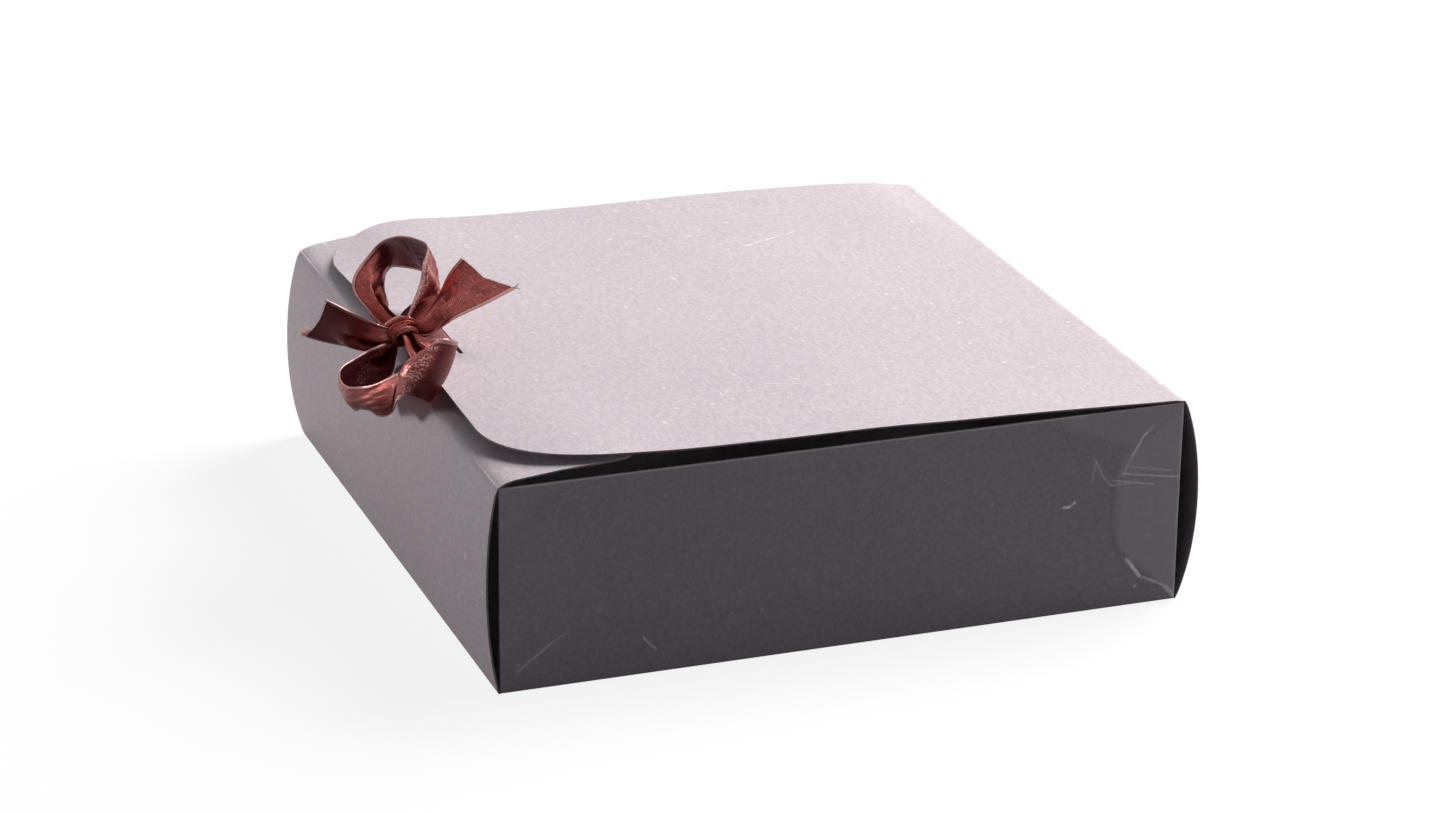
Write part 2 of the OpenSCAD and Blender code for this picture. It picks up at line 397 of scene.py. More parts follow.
@dataclass(frozen=True)
class CutCard:
    """Raw cut edge of the card: pressed brown fibres."""

    name: str = "cut_card_edge"
    colour: Point = (0.50, 0.43, 0.43)
    dark: Point = (0.27, 0.21, 0.20)

    def build(self) -> bpy.types.Material:
        """Makes the material."""
        g = Finish(self.name)
        place = g.place()
        fibre = g.noise(g.stretched(place, (1.0, 1.0, 5.0)), 900.0, 4.0, 0.65)
        tone = g.blend(g.ramp(fibre, 0.3, 0.72), self.dark, self.colour)
        normal = g.bump(fibre, 0.00008, 0.8)
        return g.finish({"Base Color": tone, "Roughness": 0.85, "Normal": normal})


@dataclass(frozen=True)
class SatinRibbon:
    """Satin ribbon: a shining face and a duller, darker back, both with slanting ribs and corded edges;
    the back's darkness is partly painted shade, and painted highlights and painted shade are laid on
    streaks, wefts, edges and puckers.

    Streaks, wefts, slubs and puckers are sized in cells per metre along the ribbon and across it.
    """

    name: str = "ribbon_satin"
    colour: Point = (0.46, 0.104, 0.088)
    deep: Point = (0.13, 0.012, 0.013)
    # Colour of the back face: partly the satin's duller back, partly painted shade on the loops' insides
    # and the front tail
    back: Point = (0.165, 0.014, 0.017)
    # Colour of the painted highlights on streaks, wefts, corded edges and puckers, and the sheen's tint
    painted_glint: Point = (0.92, 0.60, 0.56)
    roughness: float = 0.28
    width: float = 0.020
    rib: float = 0.00052
    slant: float = 0.35
    waver: float = 5.0
    streaks: tuple[float, float] = (90.0, 1900.0)
    wefts: tuple[float, float] = (2300.0, 620.0)
    slubs: tuple[float, float] = (240.0, 240.0)
    puckers: tuple[float, float] = (2300.0, 1500.0)
    cord: tuple[float, float] = (0.0012, 0.0008)
    # Distance from the edge of a thin painted shade line beside the cord
    groove_shade: float = 0.0013

    def build(self) -> bpy.types.Material:
        """Makes the material."""
        g = Finish(self.name)
        flat = g.ribbon_place()
        along, across, _ = g.axes(flat)
        waver = g.noise(g.stretched(flat, (130.0, 130.0, 1.0)), 1.0, 2.0)
        phase = (along + across * self.slant) * (2 * math.pi / self.rib) + waver * self.waver
        ribs = phase.sine() * 0.5 + 0.5
        streak = g.noise(g.stretched(flat, (*self.streaks, 1.0)), 1.0, 3.0, 0.6)
        weft = g.noise(g.stretched(flat, (*self.wefts, 1.0)), 1.0, 2.0, 0.7)
        slub = g.noise(g.stretched(flat, (*self.slubs, 1.0)), 1.0, 3.0, 0.55)
        pucker = g.noise(g.stretched(flat, (*self.puckers, 1.0)), 1.0, 1.0)
        middle, half = abs(across - self.width / 2), self.width / 2
        cord = g.ramp(middle, *(half - reach for reach in self.cord))
        # Painted shade: a thin dark line just inside each corded edge
        groove_shade = g.ramp(abs(middle - (half - self.groove_shade)), 0.00005, 0.0003, 1.0, 0.0)
        # Back face: the duller satin, darkened further as painted shade
        back_and_shade, drawn = g.attribute("back"), g.attribute("drawn")
        shine = 1.0 - back_and_shade * 0.6
        tone = g.layers(
            self.deep,
            (g.ramp(slub, 0.28, 0.55, 0.3, 1.0), self.colour),
            (back_and_shade * 0.85, self.back),
            (ribs * 0.6, self.deep),
            # Painted highlights: the glint colour on streaks and wefts of the shining face
            (g.ramp(streak, 0.5, 0.8, 0.0, 0.16) * shine, self.painted_glint),
            (g.ramp(weft, 0.56, 0.76, 0.0, 0.5) * shine, self.painted_glint),
            # Painted highlight along the corded edges
            (cord * 0.45, self.painted_glint),
            # Painted shade in the line beside the cord
            (groove_shade * 0.7, self.deep),
            # Painted highlights on the puckers
            (g.ramp(pucker, 0.50, 0.62) * drawn * 0.65, self.painted_glint),
            # Painted shade between the puckers
            (g.ramp(pucker, 0.34, 0.46, 1.0, 0.0) * drawn * 0.4, self.deep),
        )
        height = ribs * 0.5 + streak * 0.35 + weft * 0.5 + cord * 1.4 + pucker * drawn * 3.0
        return g.finish(
            {
                "Base Color": tone,
                "Metallic": (1.0 - back_and_shade * 0.75) * g.ramp(weft, 0.3, 0.8, 0.34, 0.62),
                "Roughness": g.ramp(weft, 0.35, 0.75, self.roughness + 0.08, self.roughness - 0.06),
                "Specular IOR Level": 0.16,
                "Sheen Weight": 0.03,
                "Sheen Roughness": 0.35,
                "Sheen Tint": (*self.painted_glint, 1.0),
                "Normal": g.bump(height, 0.00009, 0.7),
            }
        )


@dataclass(frozen=True)
class LooseThread:
    """Single threads that stand out of the ribbon's cut ends."""

    name: str
    colour: Point
    sheen: Point

    def build(self) -> bpy.types.Material:
        """Makes the material."""
        g = Finish(self.name)
        twist = g.noise(g.stretched(g.place(), (1.0, 1.0, 2.4)), 4200.0, 2.0)
        tone = g.blend(g.ramp(twist, 0.35, 0.65), self.colour, self.sheen)
        return g.finish({"Base Color": tone, "Roughness": 0.45, "Normal": g.bump(twist, 0.00003, 0.7)})


@dataclass(frozen=True)
class PaleFloor:
    """Pale floor that looks near white and keeps the object's shadow."""

    name: str = "pale_floor"
    colour: Point = (0.92, 0.92, 0.92)
    cloud: Point = (0.86, 0.86, 0.86)
    bounce: Point = (0.09, 0.087, 0.093)
    light: Point = (1.0, 1.0, 1.0)
    strength: float = 1.03
    glow: float = 0.84

    def build(self) -> bpy.types.Material:
        """Makes the material."""
        g = Finish(self.name)
        eye, gloss, glass = g.rays()
        seen = (eye + gloss + glass).least(1.0)
        grain = g.ramp(g.noise(g.place(), 6.0, 2.0), 0.3, 0.7, 0.0, 0.15)
        tint = g.blend(grain, self.colour, self.cloud)
        cloth = g.made("ShaderNodeBsdfDiffuse", {"Color": g.blend(seen, self.bounce, tint)})
        light = g.made("ShaderNodeEmission", {"Color": self.light, "Strength": self.strength})
        return g.end(g.made("ShaderNodeMixShader", {0: eye * self.glow, 1: cloth, 2: light}))


# ---------------------------------------------------------------- curves


class Curve:
    """Smooth curve through given values at given stations."""

    def __init__(self, stations: Sequence[float], values: Sequence[Any]) -> None:
        """Fits a natural cubic spline.

        Args:
            stations: Rising stations along the curve.
            values: A number or a point at each station.
        """
        self.x, self.y = np.asarray(stations, float), np.asarray(values, float)
        self.flat = self.y.ndim == 1
        if self.flat:
            self.y = self.y[:, None]
        n = len(self.x)
        step = np.diff(self.x)
        system = np.zeros((n, n))
        right = np.zeros((n, self.y.shape[1]))
        system[0, 0] = system[-1, -1] = 1.0
        for i in range(1, n - 1):
            system[i, i - 1 : i + 2] = step[i - 1], 2 * (step[i - 1] + step[i]), step[i]
            rise = (self.y[i + 1] - self.y[i]) / step[i] - (self.y[i] - self.y[i - 1]) / step[i - 1]
            right[i] = 6 * rise
        self.m = np.linalg.solve(system, right)

    def __call__(self, where: Any) -> np.ndarray:
        """Values at any stations, held at the ends."""
        shape = np.shape(where)
        at = np.clip(np.ravel(np.asarray(where, float)), self.x[0], self.x[-1])
        i = np.clip(np.searchsorted(self.x, at) - 1, 0, len(self.x) - 2)
        h = self.x[i + 1] - self.x[i]
        a = ((self.x[i + 1] - at) / h)[:, None]
        b = ((at - self.x[i]) / h)[:, None]
        hh = (h * h)[:, None] / 6
        out = (
            a * self.y[i]
            + b * self.y[i + 1]
            + ((a**3 - a) * self.m[i] + (b**3 - b) * self.m[i + 1]) * hh
        )
        return out[:, 0].reshape(shape) if self.flat else out.reshape(*shape, -1)


def lengths_of(points: np.ndarray) -> np.ndarray:
    """Distance from the first point to each point of a line."""
    steps = np.linalg.norm(np.diff(points, axis=0), axis=1)
    return np.concatenate([[0.0], np.cumsum(steps)])


def unit(vectors: np.ndarray) -> np.ndarray:
    """Vectors scaled to length one."""
    size = np.linalg.norm(vectors, axis=-1, keepdims=True)
    return vectors / np.maximum(size, 1e-12)


def ease(value: Any, low: float, high: float) -> np.ndarray:
    """Smooth step from 0 at low to 1 at high."""
    t = np.clip((np.asarray(value, float) - low) / (high - low), 0.0, 1.0)
    return t * t * (3 - 2 * t)


def arc_points(
    centre: tuple[float, float], radius: float, first: float, sweep: float, steps: int
) -> list[tuple[float, float]]:
    """Points of an arc that sweeps on from a first angle, both in degrees."""
    turns = [math.radians(first + sweep * k / steps) for k in range(steps + 1)]
    return [(centre[0] + radius * math.cos(t), centre[1] + radius * math.sin(t)) for t in turns]


def quads_of(index: np.ndarray) -> np.ndarray:
    """The faces between the neighbours in a grid of point indices."""
    corners = index[:-1, :-1], index[1:, :-1], index[1:, 1:], index[:-1, 1:]
    return np.stack(corners, axis=-1).reshape(-1, 4)


def add_object(name: str, data: Any) -> bpy.types.Object:
    """Puts a new object with that data in the scene."""
    made = bpy.data.objects.new(name, data)
    bpy.context.scene.collection.objects.link(made)
    return made


def store(mesh: bpy.types.Mesh, values: dict[str, np.ndarray]) -> None:
    """Stores numbers on a mesh's points, by name."""
    for key, numbers in values.items():
        layer = mesh.attributes.new(key, "FLOAT", "POINT")
        layer.data.foreach_set("value", numbers.astype(np.float32))


def make_object(
    name: str,
    points: np.ndarray,
    faces: Sequence[Sequence[int]],
    materials: Sequence[bpy.types.Material],
    face_materials: Sequence[int] | None = None,
    sharp: float = 40.0,
) -> bpy.types.Object:
    """Makes a mesh object with smooth faces and sharp corners.

    Args:
        name: The piece's name.
        points: The points, in metres.
        faces: Indices of each face's points.
        materials: The materials.
        face_materials: The material's index for each face.
        sharp: The angle in degrees above which an edge stays sharp.

    Returns:
        The object, linked to the scene.
    """
    mesh = bpy.data.meshes.new(name)
    mesh.from_pydata([tuple(p) for p in points], [], [tuple(int(i) for i in f) for f in faces])
    for material in materials:
        mesh.materials.append(material)
    if face_materials is not None:
        mesh.polygons.foreach_set("material_index", np.asarray(face_materials, np.int32))
    mesh.validate()
    work = bmesh.new()
    work.from_mesh(mesh)
    bmesh.ops.recalc_face_normals(work, faces=work.faces)
    work.to_mesh(mesh)
    work.free()
    mesh.polygons.foreach_set("use_smooth", np.ones(len(mesh.polygons), bool))
    mesh.set_sharp_from_angle(angle=math.radians(sharp))
    mesh.update()
    LOG.info("%s: %d faces", name, len(mesh.polygons))
    return add_object(name, mesh)


# ---------------------------------------------------------------- card


@dataclass
class CardPanel:
    """A panel of card: a flat outline, laid on a curved face and given its thickness.

    The outline's points run anticlockwise. The face is a function of the flat place that gives
    points on the outer side, and the thickness goes inwards from there. The fold gives the radius
    of the crease at a point of the outline, or 0 where the card is cut, and the highlight mask gives
    how strongly a painted highlight is laid on a flat place where what lies behind presses it up
    into the light.
    """

    name: str
    outline: list[tuple[float, float]]
    face: Callable[[np.ndarray, np.ndarray], np.ndarray]
    fold: Callable[[float, float], float]
    hole: list[tuple[float, float]] = field(default_factory=list)
    # Mask of a painted highlight laid where the panel is pressed up into the light
    highlight_mask: Callable[[np.ndarray, np.ndarray], np.ndarray] | None = None
    card: float = 0.5 * MM
    spacing: float = 3.0 * MM
    cut_radius: float = 0.06 * MM

    ARC_STEPS = 4
    BANDS = (0.9 * MM, 2.2 * MM)
    CLEARANCE = 0.4
    PROBE = 0.2 * MM
    SHARPEST = 0.35
    SHARP_EDGE = 50.0

    def _dense(self, ring: Sequence[tuple[float, float]]) -> np.ndarray:
        """The ring with points no further apart than the spacing."""
        out = []
        for a, b in zip(ring, [*ring[1:], ring[0]]):
            a, b = np.array(a), np.array(b)
            count = max(1, math.ceil(np.linalg.norm(b - a) / self.spacing))
            out.extend(a + (b - a) * k / count for k in range(count))
        return np.array(out)

    @staticmethod
    def _inward(ring: np.ndarray) -> np.ndarray:
        """Mitred directions that point into the material from each point of a ring."""
        before = unit(ring - np.roll(ring, 1, axis=0))
        after = unit(np.roll(ring, -1, axis=0) - ring)
        left = lambda v: np.stack([-v[:, 1], v[:, 0]], axis=1)
        mean = unit(left(before) + left(after))
        cosine = np.clip((mean * left(after)).sum(axis=1), CardPanel.SHARPEST, 1.0)
        return mean / cosine[:, None]

    @staticmethod
    def _distance(points: np.ndarray, rings: Sequence[np.ndarray]) -> np.ndarray:
        """Distance of each point from the nearest ring."""
        best = np.full(len(points), 1e9)
        for a, b in ((a, b) for r in rings for a, b in zip(r, np.roll(r, -1, axis=0))):
            d = b - a
            t = np.clip(((points - a) @ d) / max(d @ d, 1e-18), 0.0, 1.0)
            best = np.minimum(best, np.linalg.norm(points - a - t[:, None] * d, axis=1))
        return best

    @staticmethod
    def _inside(points: np.ndarray, rings: Sequence[np.ndarray]) -> np.ndarray:
        """Whether each point lies on the panel: inside its outline and outside its hole."""
        inside = np.zeros(len(points), bool)
        x, y = points.T
        for (ax, ay), (bx, by) in ((a, b) for r in rings for a, b in zip(r, np.roll(r, -1, axis=0))):
            crosses = (ay > y) != (by > y)
            with np.errstate(divide="ignore", invalid="ignore"):
                at = ax + (y - ay) / (by - ay) * (bx - ax)
            inside ^= crosses & (x < at)
        return inside

    def _lay(self, flat: np.ndarray, depth: np.ndarray) -> np.ndarray:
        """Points in space for flat places and depths below the outer face."""
        s, t = flat[:, 0], flat[:, 1]
        h = self.PROBE
        along_s = self.face(s + h, t) - self.face(s - h, t)
        along_t = self.face(s, t + h) - self.face(s, t - h)
        normal = unit(np.cross(along_s, along_t))
        return self.face(s, t) - normal * depth[:, None]

    def build(self, card: bpy.types.Material, cut: bpy.types.Material) -> bpy.types.Object:
        """Makes the panel.

        Args:
            card: The material of its faces and folds.
            cut: The material of its cut edges.

        Returns:
            The object.
        """
        rings = [self._dense(self.outline)]
        if self.hole:
            rings.append(self._dense(self.hole)[::-1])
        inward = [self._inward(r) for r in rings]
        low, high = rings[0].min(axis=0), rings[0].max(axis=0)
        xs = np.arange(low[0] + self.spacing / 2, high[0], self.spacing)
        ys = np.arange(low[1] + self.spacing / 2, high[1], self.spacing)
        grid = np.stack(np.meshgrid(xs, ys), axis=-1).reshape(-1, 2)
        lines = [r + d * n for r, n in zip(rings, inward) for d in self.BANDS]
        keep = self._inside(grid, rings)
        keep &= self._distance(grid, rings) > self.BANDS[-1] + self.CLEARANCE * self.spacing
        interior = np.concatenate([*lines, grid[keep]])
        fold = [np.array([self.fold(*p) for p in r]) for r in rings]
        radius = [np.where(f > 0, f, self.cut_radius) for f in fold]

        turns = np.linspace(0.0, math.pi / 2, self.ARC_STEPS + 1)
        profile = [(lambda r, a=a: (r * (1 - math.sin(a)), r * (1 - math.cos(a)))) for a in turns]
        inner = min(self.cut_radius, self.card / 4)
        profile.append(lambda r: (np.zeros_like(r), np.full_like(r, self.card - inner)))
        profile.append(lambda r: (np.full_like(r, inner), np.full_like(r, self.card)))

        flat, depth, index = [], [], []
        for ring, n, r in zip(rings, inward, radius):
            rows = []
            for shape in profile:
                inset, down = shape(r)
                rows.append(np.arange(len(ring)) + sum(len(f) for f in flat))
                flat.append(ring + n * inset[:, None])
                depth.append(down)
            index.append(rows)
        start = sum(len(f) for f in flat)
        for down in (0.0, self.card):
            flat.append(interior)
            depth.append(np.full(len(interior), down))
        plan, below = np.concatenate(flat), np.concatenate(depth)

        faces, kinds = [], []
        for side, row, offset in ((0, 0, start), (1, -1, start + len(interior))):
            borders = [rows[row] for rows in index]
            chosen = np.concatenate([*borders, offset + np.arange(len(interior))])
            edges, base = [], 0
            for count in map(len, borders):
                edges.extend((base + k, base + (k + 1) % count) for k in range(count))
                base += count
            points, _, triangles, origin, _, _ = delaunay_2d_cdt(
                [Vector(plan[i]) for i in chosen], edges, [], 0, 1e-9
            )
            spots = np.array([tuple(p) for p in points])
            middles = np.array([spots[list(f)].mean(axis=0) for f in triangles])
            good = self._inside(middles, [plan[border] for border in borders])
            for f in (f for ok, f in zip(good, triangles) if ok):
                corners = [chosen[origin[i][0]] for i in f]
                faces.append(corners if side == 0 else corners[::-1])
                kinds.append(0)
        for rows, f in zip(index, fold):
            count = len(rows[0])
            for above, under in zip(rows[:-1], rows[1:]):
                for k in range(count):
                    j = (k + 1) % count
                    faces.append([above[k], under[k], under[j], above[j]])
                    kinds.append(0 if f[k] > 0 and f[j] > 0 else 1)
        made = make_object(
            self.name, self._lay(plan, below), faces, [card, cut], kinds, self.SHARP_EDGE
        )
        stored = {"edge": self._distance(plan, rings) / MM}
        if self.highlight_mask is not None:
            # The painted highlight mask goes on the points, for the card's colour
            stored["painted_highlight"] = self.highlight_mask(plan[:, 0], plan[:, 1])
        store(made.data, stored)
        raw = made.data.attributes.new("cut", "BOOLEAN", "FACE")
        raw.data.foreach_set("value", [bool(f.material_index) for f in made.data.polygons])
        return made


CORNER_STEPS = 12
SLOT_STEPS = 6


def rounded_plan(width: float, depth: float, radius: float, start: float) -> list[tuple[float, float]]:
    """Outline of a panel with two round corners at its far edge.

    Args:
        width: Across the panel.
        depth: From the crease line to the far edge.
        radius: Of the two round corners.
        start: Distance from the crease line at which the panel starts.

    Returns:
        The outline's points, anticlockwise.
    """
    half = width / 2
    points = [(-half, start), (half, start)]
    for x, first in ((half - radius, 0.0), (radius - half, 90.0)):
        points += arc_points((x, depth - radius), radius, first, 90.0, CORNER_STEPS)
    return points


class BowedWall(ShapeTree):
    """Rule that bends a flat wall: an arc over its height, and half the crease's round at its top."""

    SIZES = ("Height", "Width", "Side", "Bow Left", "Bow Right", "Crease Radius", "Ripple")
    SHOULDER = 0.15
    RIPPLE_TURN = 47.0

    def __init__(self) -> None:
        """Builds the tree."""
        super().__init__("bowed_wall", self.SIZES, ("Card", "Cut Edge"))
        x, _, z = self.axes(self.made("GeometryNodeInputPosition"))
        height, radius, side = self.given("Height"), self.given("Crease Radius"), self.given("Side")
        share = x / self.given("Width") + 0.5
        bow = self.given("Bow Left") + (self.given("Bow Right") - self.given("Bow Left")) * share
        t = z / height
        arc = 4.0 * bow * t * (1.0 - t) * (1.0 + self.SHOULDER * (2.0 * t - 1.0) ** 2.0)
        wave = self.given("Ripple") * (x * self.RIPPLE_TURN + side).sine() * (t * math.pi).sine()
        past = (z - (height - radius)).most(0.0)
        curl = radius - (radius * radius - past * past).most(0.0) ** 0.5
        shift = self.made("ShaderNodeCombineXYZ", {"Y": side * (arc + wave - curl)})
        values = {"Geometry": self.given("Shape"), "Offset": shift}
        cut = {"Selection": self.stored("cut", "BOOLEAN")}
        self.end(self.made("GeometryNodeSetPosition", values), {"Card": {}, "Cut Edge": cut})


@dataclass(frozen=True)
class Facet:
    """A part of an end wall that is pressed up, and painted lighter as a painted highlight, on one side
    of a slanting line.

    The place is a point of the line, by its distance along the wall and its height. The side is 1
    above the line and -1 below it. The wall's half is 1 at the back and -1 at the front, and the
    ends say how far from the middle the facet fades in.
    """

    place: tuple[float, float]
    slope: float
    side: int
    soft: float
    half: int
    ends: tuple[float, float]
    strength: float

    def on(self, y: np.ndarray, z: np.ndarray) -> np.ndarray:
        """How strongly the facet is raised and painted lighter at places along the wall and up it."""
        above = self.side * (z - self.place[1] - self.slope * (y - self.place[0]))
        return self.strength * ease(above, -self.soft, self.soft) * ease(self.half * y, *self.ends)


@dataclass
class Carton:
    """The folded card blank: walls, lid and flap, with the base and glue tabs."""

    width: float = 0.200
    depth: float = 0.200
    height: float = 0.060
    card: float = 0.0005
    front_bow: tuple[float, float] = (0.0045, 0.0033)
    back_bow: tuple[float, float] = (0.0050, 0.0053)
    wall_ripple: float = 0.12 * MM
    front_crease: float = 0.0016
    back_crease: float = 0.0010
    foot_crease: float = 0.00042
    crease_gap: float = 0.00001
    seam_radius: float = 0.00002
    lid_setback: float = 0.0035
    lid_lift: float = 0.0057
    lid_crown: float = 0.0012
    lid_corner: float = 0.030
    lid_ripple: float = 0.10 * MM
    lid_ripple_turns: tuple[float, float] = (61.0, 38.0)
    slot_length: float = 0.032
    slot_width: float = 0.0012
    slot_setback: float = 0.0125
    flap_depth: float = 0.040
    flap_corner: float = 0.006
    flap_swell: float = 0.0011
    flap_swell_share: float = 0.25
    end_inset: float = 0.00057
    end_top: float = 0.05935
    end_ripple: float = 0.10 * MM
    end_ripple_turn: float = 33.0
    end_relief: float = 0.22 * MM
    end_sink: float = 0.32 * MM
    tab_reach: float = 0.0195
    tab_low: float = 0.002
    tab_high: float = 0.0578
    tab_foot: float = 39.0
    tab_head: float = 36.0
    tab_round: float = 2.2 * MM
    tab_soft: tuple[float, float] = (1.0 * MM, 3.0 * MM)
    front_tab_share: float = 0.12

    def __post_init__(self) -> None:
        """Makes the finishes and the bending rule."""
        self.card_face = PearlCard().build()
        self.inner_face = PearlCard(name="pearl_card_inner", edged=False).build()
        self.cut_face = CutCard().build()
        self.bend = BowedWall()

    def crease_start(self, radius: float) -> float:
        """Distance from the crease line at which a panel takes over half way round the crease."""
        return radius * (1 - math.sqrt(0.5)) + self.crease_gap

    @staticmethod
    def crease_drop(t: np.ndarray, radius: float) -> np.ndarray:
        """How far a panel lies below its plane on the round of its crease."""
        before = np.clip(radius - t, 0.0, radius)
        return radius - np.sqrt(radius**2 - before**2)

    def wall(self, name: str, side: int, bow: tuple[float, float], crease: float) -> bpy.types.Object:
        """Builds a bowed wall.

        Args:
            name: The piece's name.
            side: -1 for the front wall, 1 for the back wall.
            bow: How far it stands out at its -X end and at its +X end.
            crease: Radius of the crease at its top.

        Returns:
            The object.
        """

        def face(s: np.ndarray, t: np.ndarray) -> np.ndarray:
            """Points of the flat wall's outer face."""
            return np.stack([-side * s, np.full_like(s, side * self.depth / 2), t], axis=-1)

        def fold(s: float, t: float) -> float:
            """Radius of the foot's crease, and of the seam at the top."""
            if t < 1e-6:
                return self.foot_crease
            return self.seam_radius if t > top - 1e-6 else 0.0

        half, top = self.width / 2, self.height - self.crease_start(crease)
        outline = [(-half, 0.0), (half, 0.0), (half, top), (-half, top)]
        flat = CardPanel(name, outline, face, fold, card=self.card, spacing=2.0 * MM)
        return self.bend.run(
            flat.build(self.card_face, self.cut_face),
            {
                "Height": self.height,
                "Width": self.width,
                "Side": float(side),
                "Bow Left": bow[0],
                "Bow Right": bow[1],
                "Crease Radius": crease,
                "Ripple": self.wall_ripple,
                "Card": self.card_face,
                "Cut Edge": self.cut_face,
            },
        )

    def tab_rise_and_highlight(self, reach: np.ndarray, z: np.ndarray, soft: float) -> np.ndarray:
        """How far a glue tab behind a wall raises it, which also sets where a painted highlight is laid
        on.

        Args:
            reach: Distance from the tab's root.
            z: Height.
            soft: Width over which the raise and its painted highlight fade at the tab's outline.

        Returns:
            0 clear of the tab and 1 over it.
        """
        foot, head = math.radians(self.tab_foot), math.radians(self.tab_head)
        inside = (
            (z - self.tab_low - reach * math.tan(foot)) * math.cos(foot),
            (self.tab_high - z - reach * math.tan(head)) * math.cos(head),
            self.tab_reach - reach,
        )
        nearest = -self.tab_round * np.log(sum(np.exp(-d / self.tab_round) for d in inside))
        return ease(nearest, -soft, 0.0)

    def end_rise_and_highlight(self, y: np.ndarray, z: np.ndarray) -> np.ndarray:
        """How much an end wall is lifted by the tabs and facets behind and beside them, and how strongly
        a painted highlight is laid there.

        Args:
            y: Place along the wall, from the front.
            z: Height.

        Returns:
            0 on the plain wall and 1 over the back tab.
        """
        reach = self.depth / 2 - self.end_inset
        rear = self.tab_rise_and_highlight(reach - y, z, self.tab_soft[0])
        fore = self.tab_rise_and_highlight(reach + y, z, self.tab_soft[1]) * self.front_tab_share
        upper, corner, low = (facet.on(y, z) for facet in END_FACETS)
        return np.clip(np.maximum(rear, upper) + fore + corner + low, 0.0, 1.0)

    def end_wall(self, name: str, side: int, finish: bpy.types.Material) -> bpy.types.Object:
        """Builds an end wall, raised over the glue tabs behind it, with a painted highlight laid on the
        raised places.

        Args:
            name: The piece's name.
            side: 1 for the right end, -1 for the left end.
            finish: The material of its faces.

        Returns:
            The object.
        """

        def face(s: np.ndarray, t: np.ndarray) -> np.ndarray:
            """Points of the wall's outer face."""
            y = side * s
            hump = np.sin(math.pi * np.clip(t / self.end_top, 0, 1))
            wave = self.end_ripple * np.sin(y * self.end_ripple_turn + 0.6)
            relief = self.end_relief * self.end_rise_and_highlight(y, t) * hump**0.5
            out = self.width / 2 + relief + hump * (wave - self.end_sink)
            return np.stack([side * out, y, t], axis=-1)

        reach = self.depth / 2 - self.end_inset
        return CardPanel(
            name,
            [(-reach, 0.0), (reach, 0.0), (reach, self.end_top), (-reach, self.end_top)],
            face,
            lambda s, t: self.foot_crease if t < 1e-6 else 0.0,
            # Mask of the painted highlight over the raised places
            highlight_mask=lambda s, t: self.end_rise_and_highlight(side * s, t),
            card=self.card,
            spacing=1.0 * MM,
        ).build(finish, self.cut_face)

    def lid_height(self, x: np.ndarray, u: np.ndarray) -> np.ndarray:
        """Height of the lid's top face above the wall tops, at distance u from its crease."""
        reach = self.depth - self.lid_setback
        t = u / reach
        middle = self.lid_lift * t + 4 * self.lid_crown * t * (1 - t)
        right = LID_RIGHT_EDGE(self.depth - u) - self.height
        left = LID_LEFT_EDGE(self.depth - u) - self.height
        share = np.clip(x / (self.width / 2), -1.0, 1.0)
        side = np.where(share > 0, right, left)
        weight = ease(np.abs(share), 0.12, 1.0) * ease(u, 0.0, 0.012)
        across, back = self.lid_ripple_turns
        ripple = self.lid_ripple * np.sin(x * across + 0.4) * np.sin(u * back)
        return middle + (side - middle) * weight + ripple * ease(np.abs(share), 0.2, 0.5)

    def lid(self) -> bpy.types.Object:
        """Builds the lid with its two round corners and the ribbon slot."""
        reach = self.depth - self.lid_setback

        def face(s: np.ndarray, t: np.ndarray) -> np.ndarray:
            """Points of the lid's top face."""
            top = self.height + self.lid_height(-s, t) - self.crease_drop(t, self.back_crease)
            return np.stack([-s, self.depth / 2 - t, top], axis=-1)

        first = self.crease_start(self.back_crease)
        middle = reach - self.slot_setback
        half, r = self.slot_length / 2 - self.slot_width / 2, self.slot_width / 2
        slot = arc_points((half, middle), r, -90.0, 180.0, SLOT_STEPS)
        slot += arc_points((-half, middle), r, 90.0, 180.0, SLOT_STEPS)
        return CardPanel(
            "lid_sheet",
            rounded_plan(self.width, reach, self.lid_corner, first),
            face,
            lambda s, t: self.seam_radius if t < first + 1e-6 else 0.0,
            hole=slot,
            card=self.card,
            spacing=3.0 * MM,
        ).build(PearlCard(name="pearl_card_lid", pale_marks=LID_SCRATCHES).build(), self.cut_face)

    def flap(self) -> bpy.types.Object:
        """Builds the front flap, tucked under the lid."""

        def face(s: np.ndarray, t: np.ndarray) -> np.ndarray:
            """Points of the flap's top face."""
            share = s / self.width + 0.5
            rise = FLAP_LEFT_EDGE(t) + (FLAP_RIGHT_EDGE(t) - FLAP_LEFT_EDGE(t)) * share
            swell = np.sin(math.pi * np.clip(1 - share / self.flap_swell_share, 0.0, 1.0)) ** 2
            rise = rise + self.flap_swell * swell * ease(t, 4.0 * MM, 14.0 * MM)
            rise = rise * ease(t, first, 3.0 * MM) - self.crease_drop(t, self.front_crease)
            return np.stack([s, -self.depth / 2 + t, self.height + rise], axis=-1)

        first = self.crease_start(self.front_crease)
        return CardPanel(
            "front_flap_sheet",
            rounded_plan(self.width, self.flap_depth, self.flap_corner, first),
            face,
            lambda s, t: self.seam_radius if t < first + 1e-6 else 0.0,
            card=self.card,
            spacing=2.0 * MM,
        ).build(self.card_face, self.cut_face)

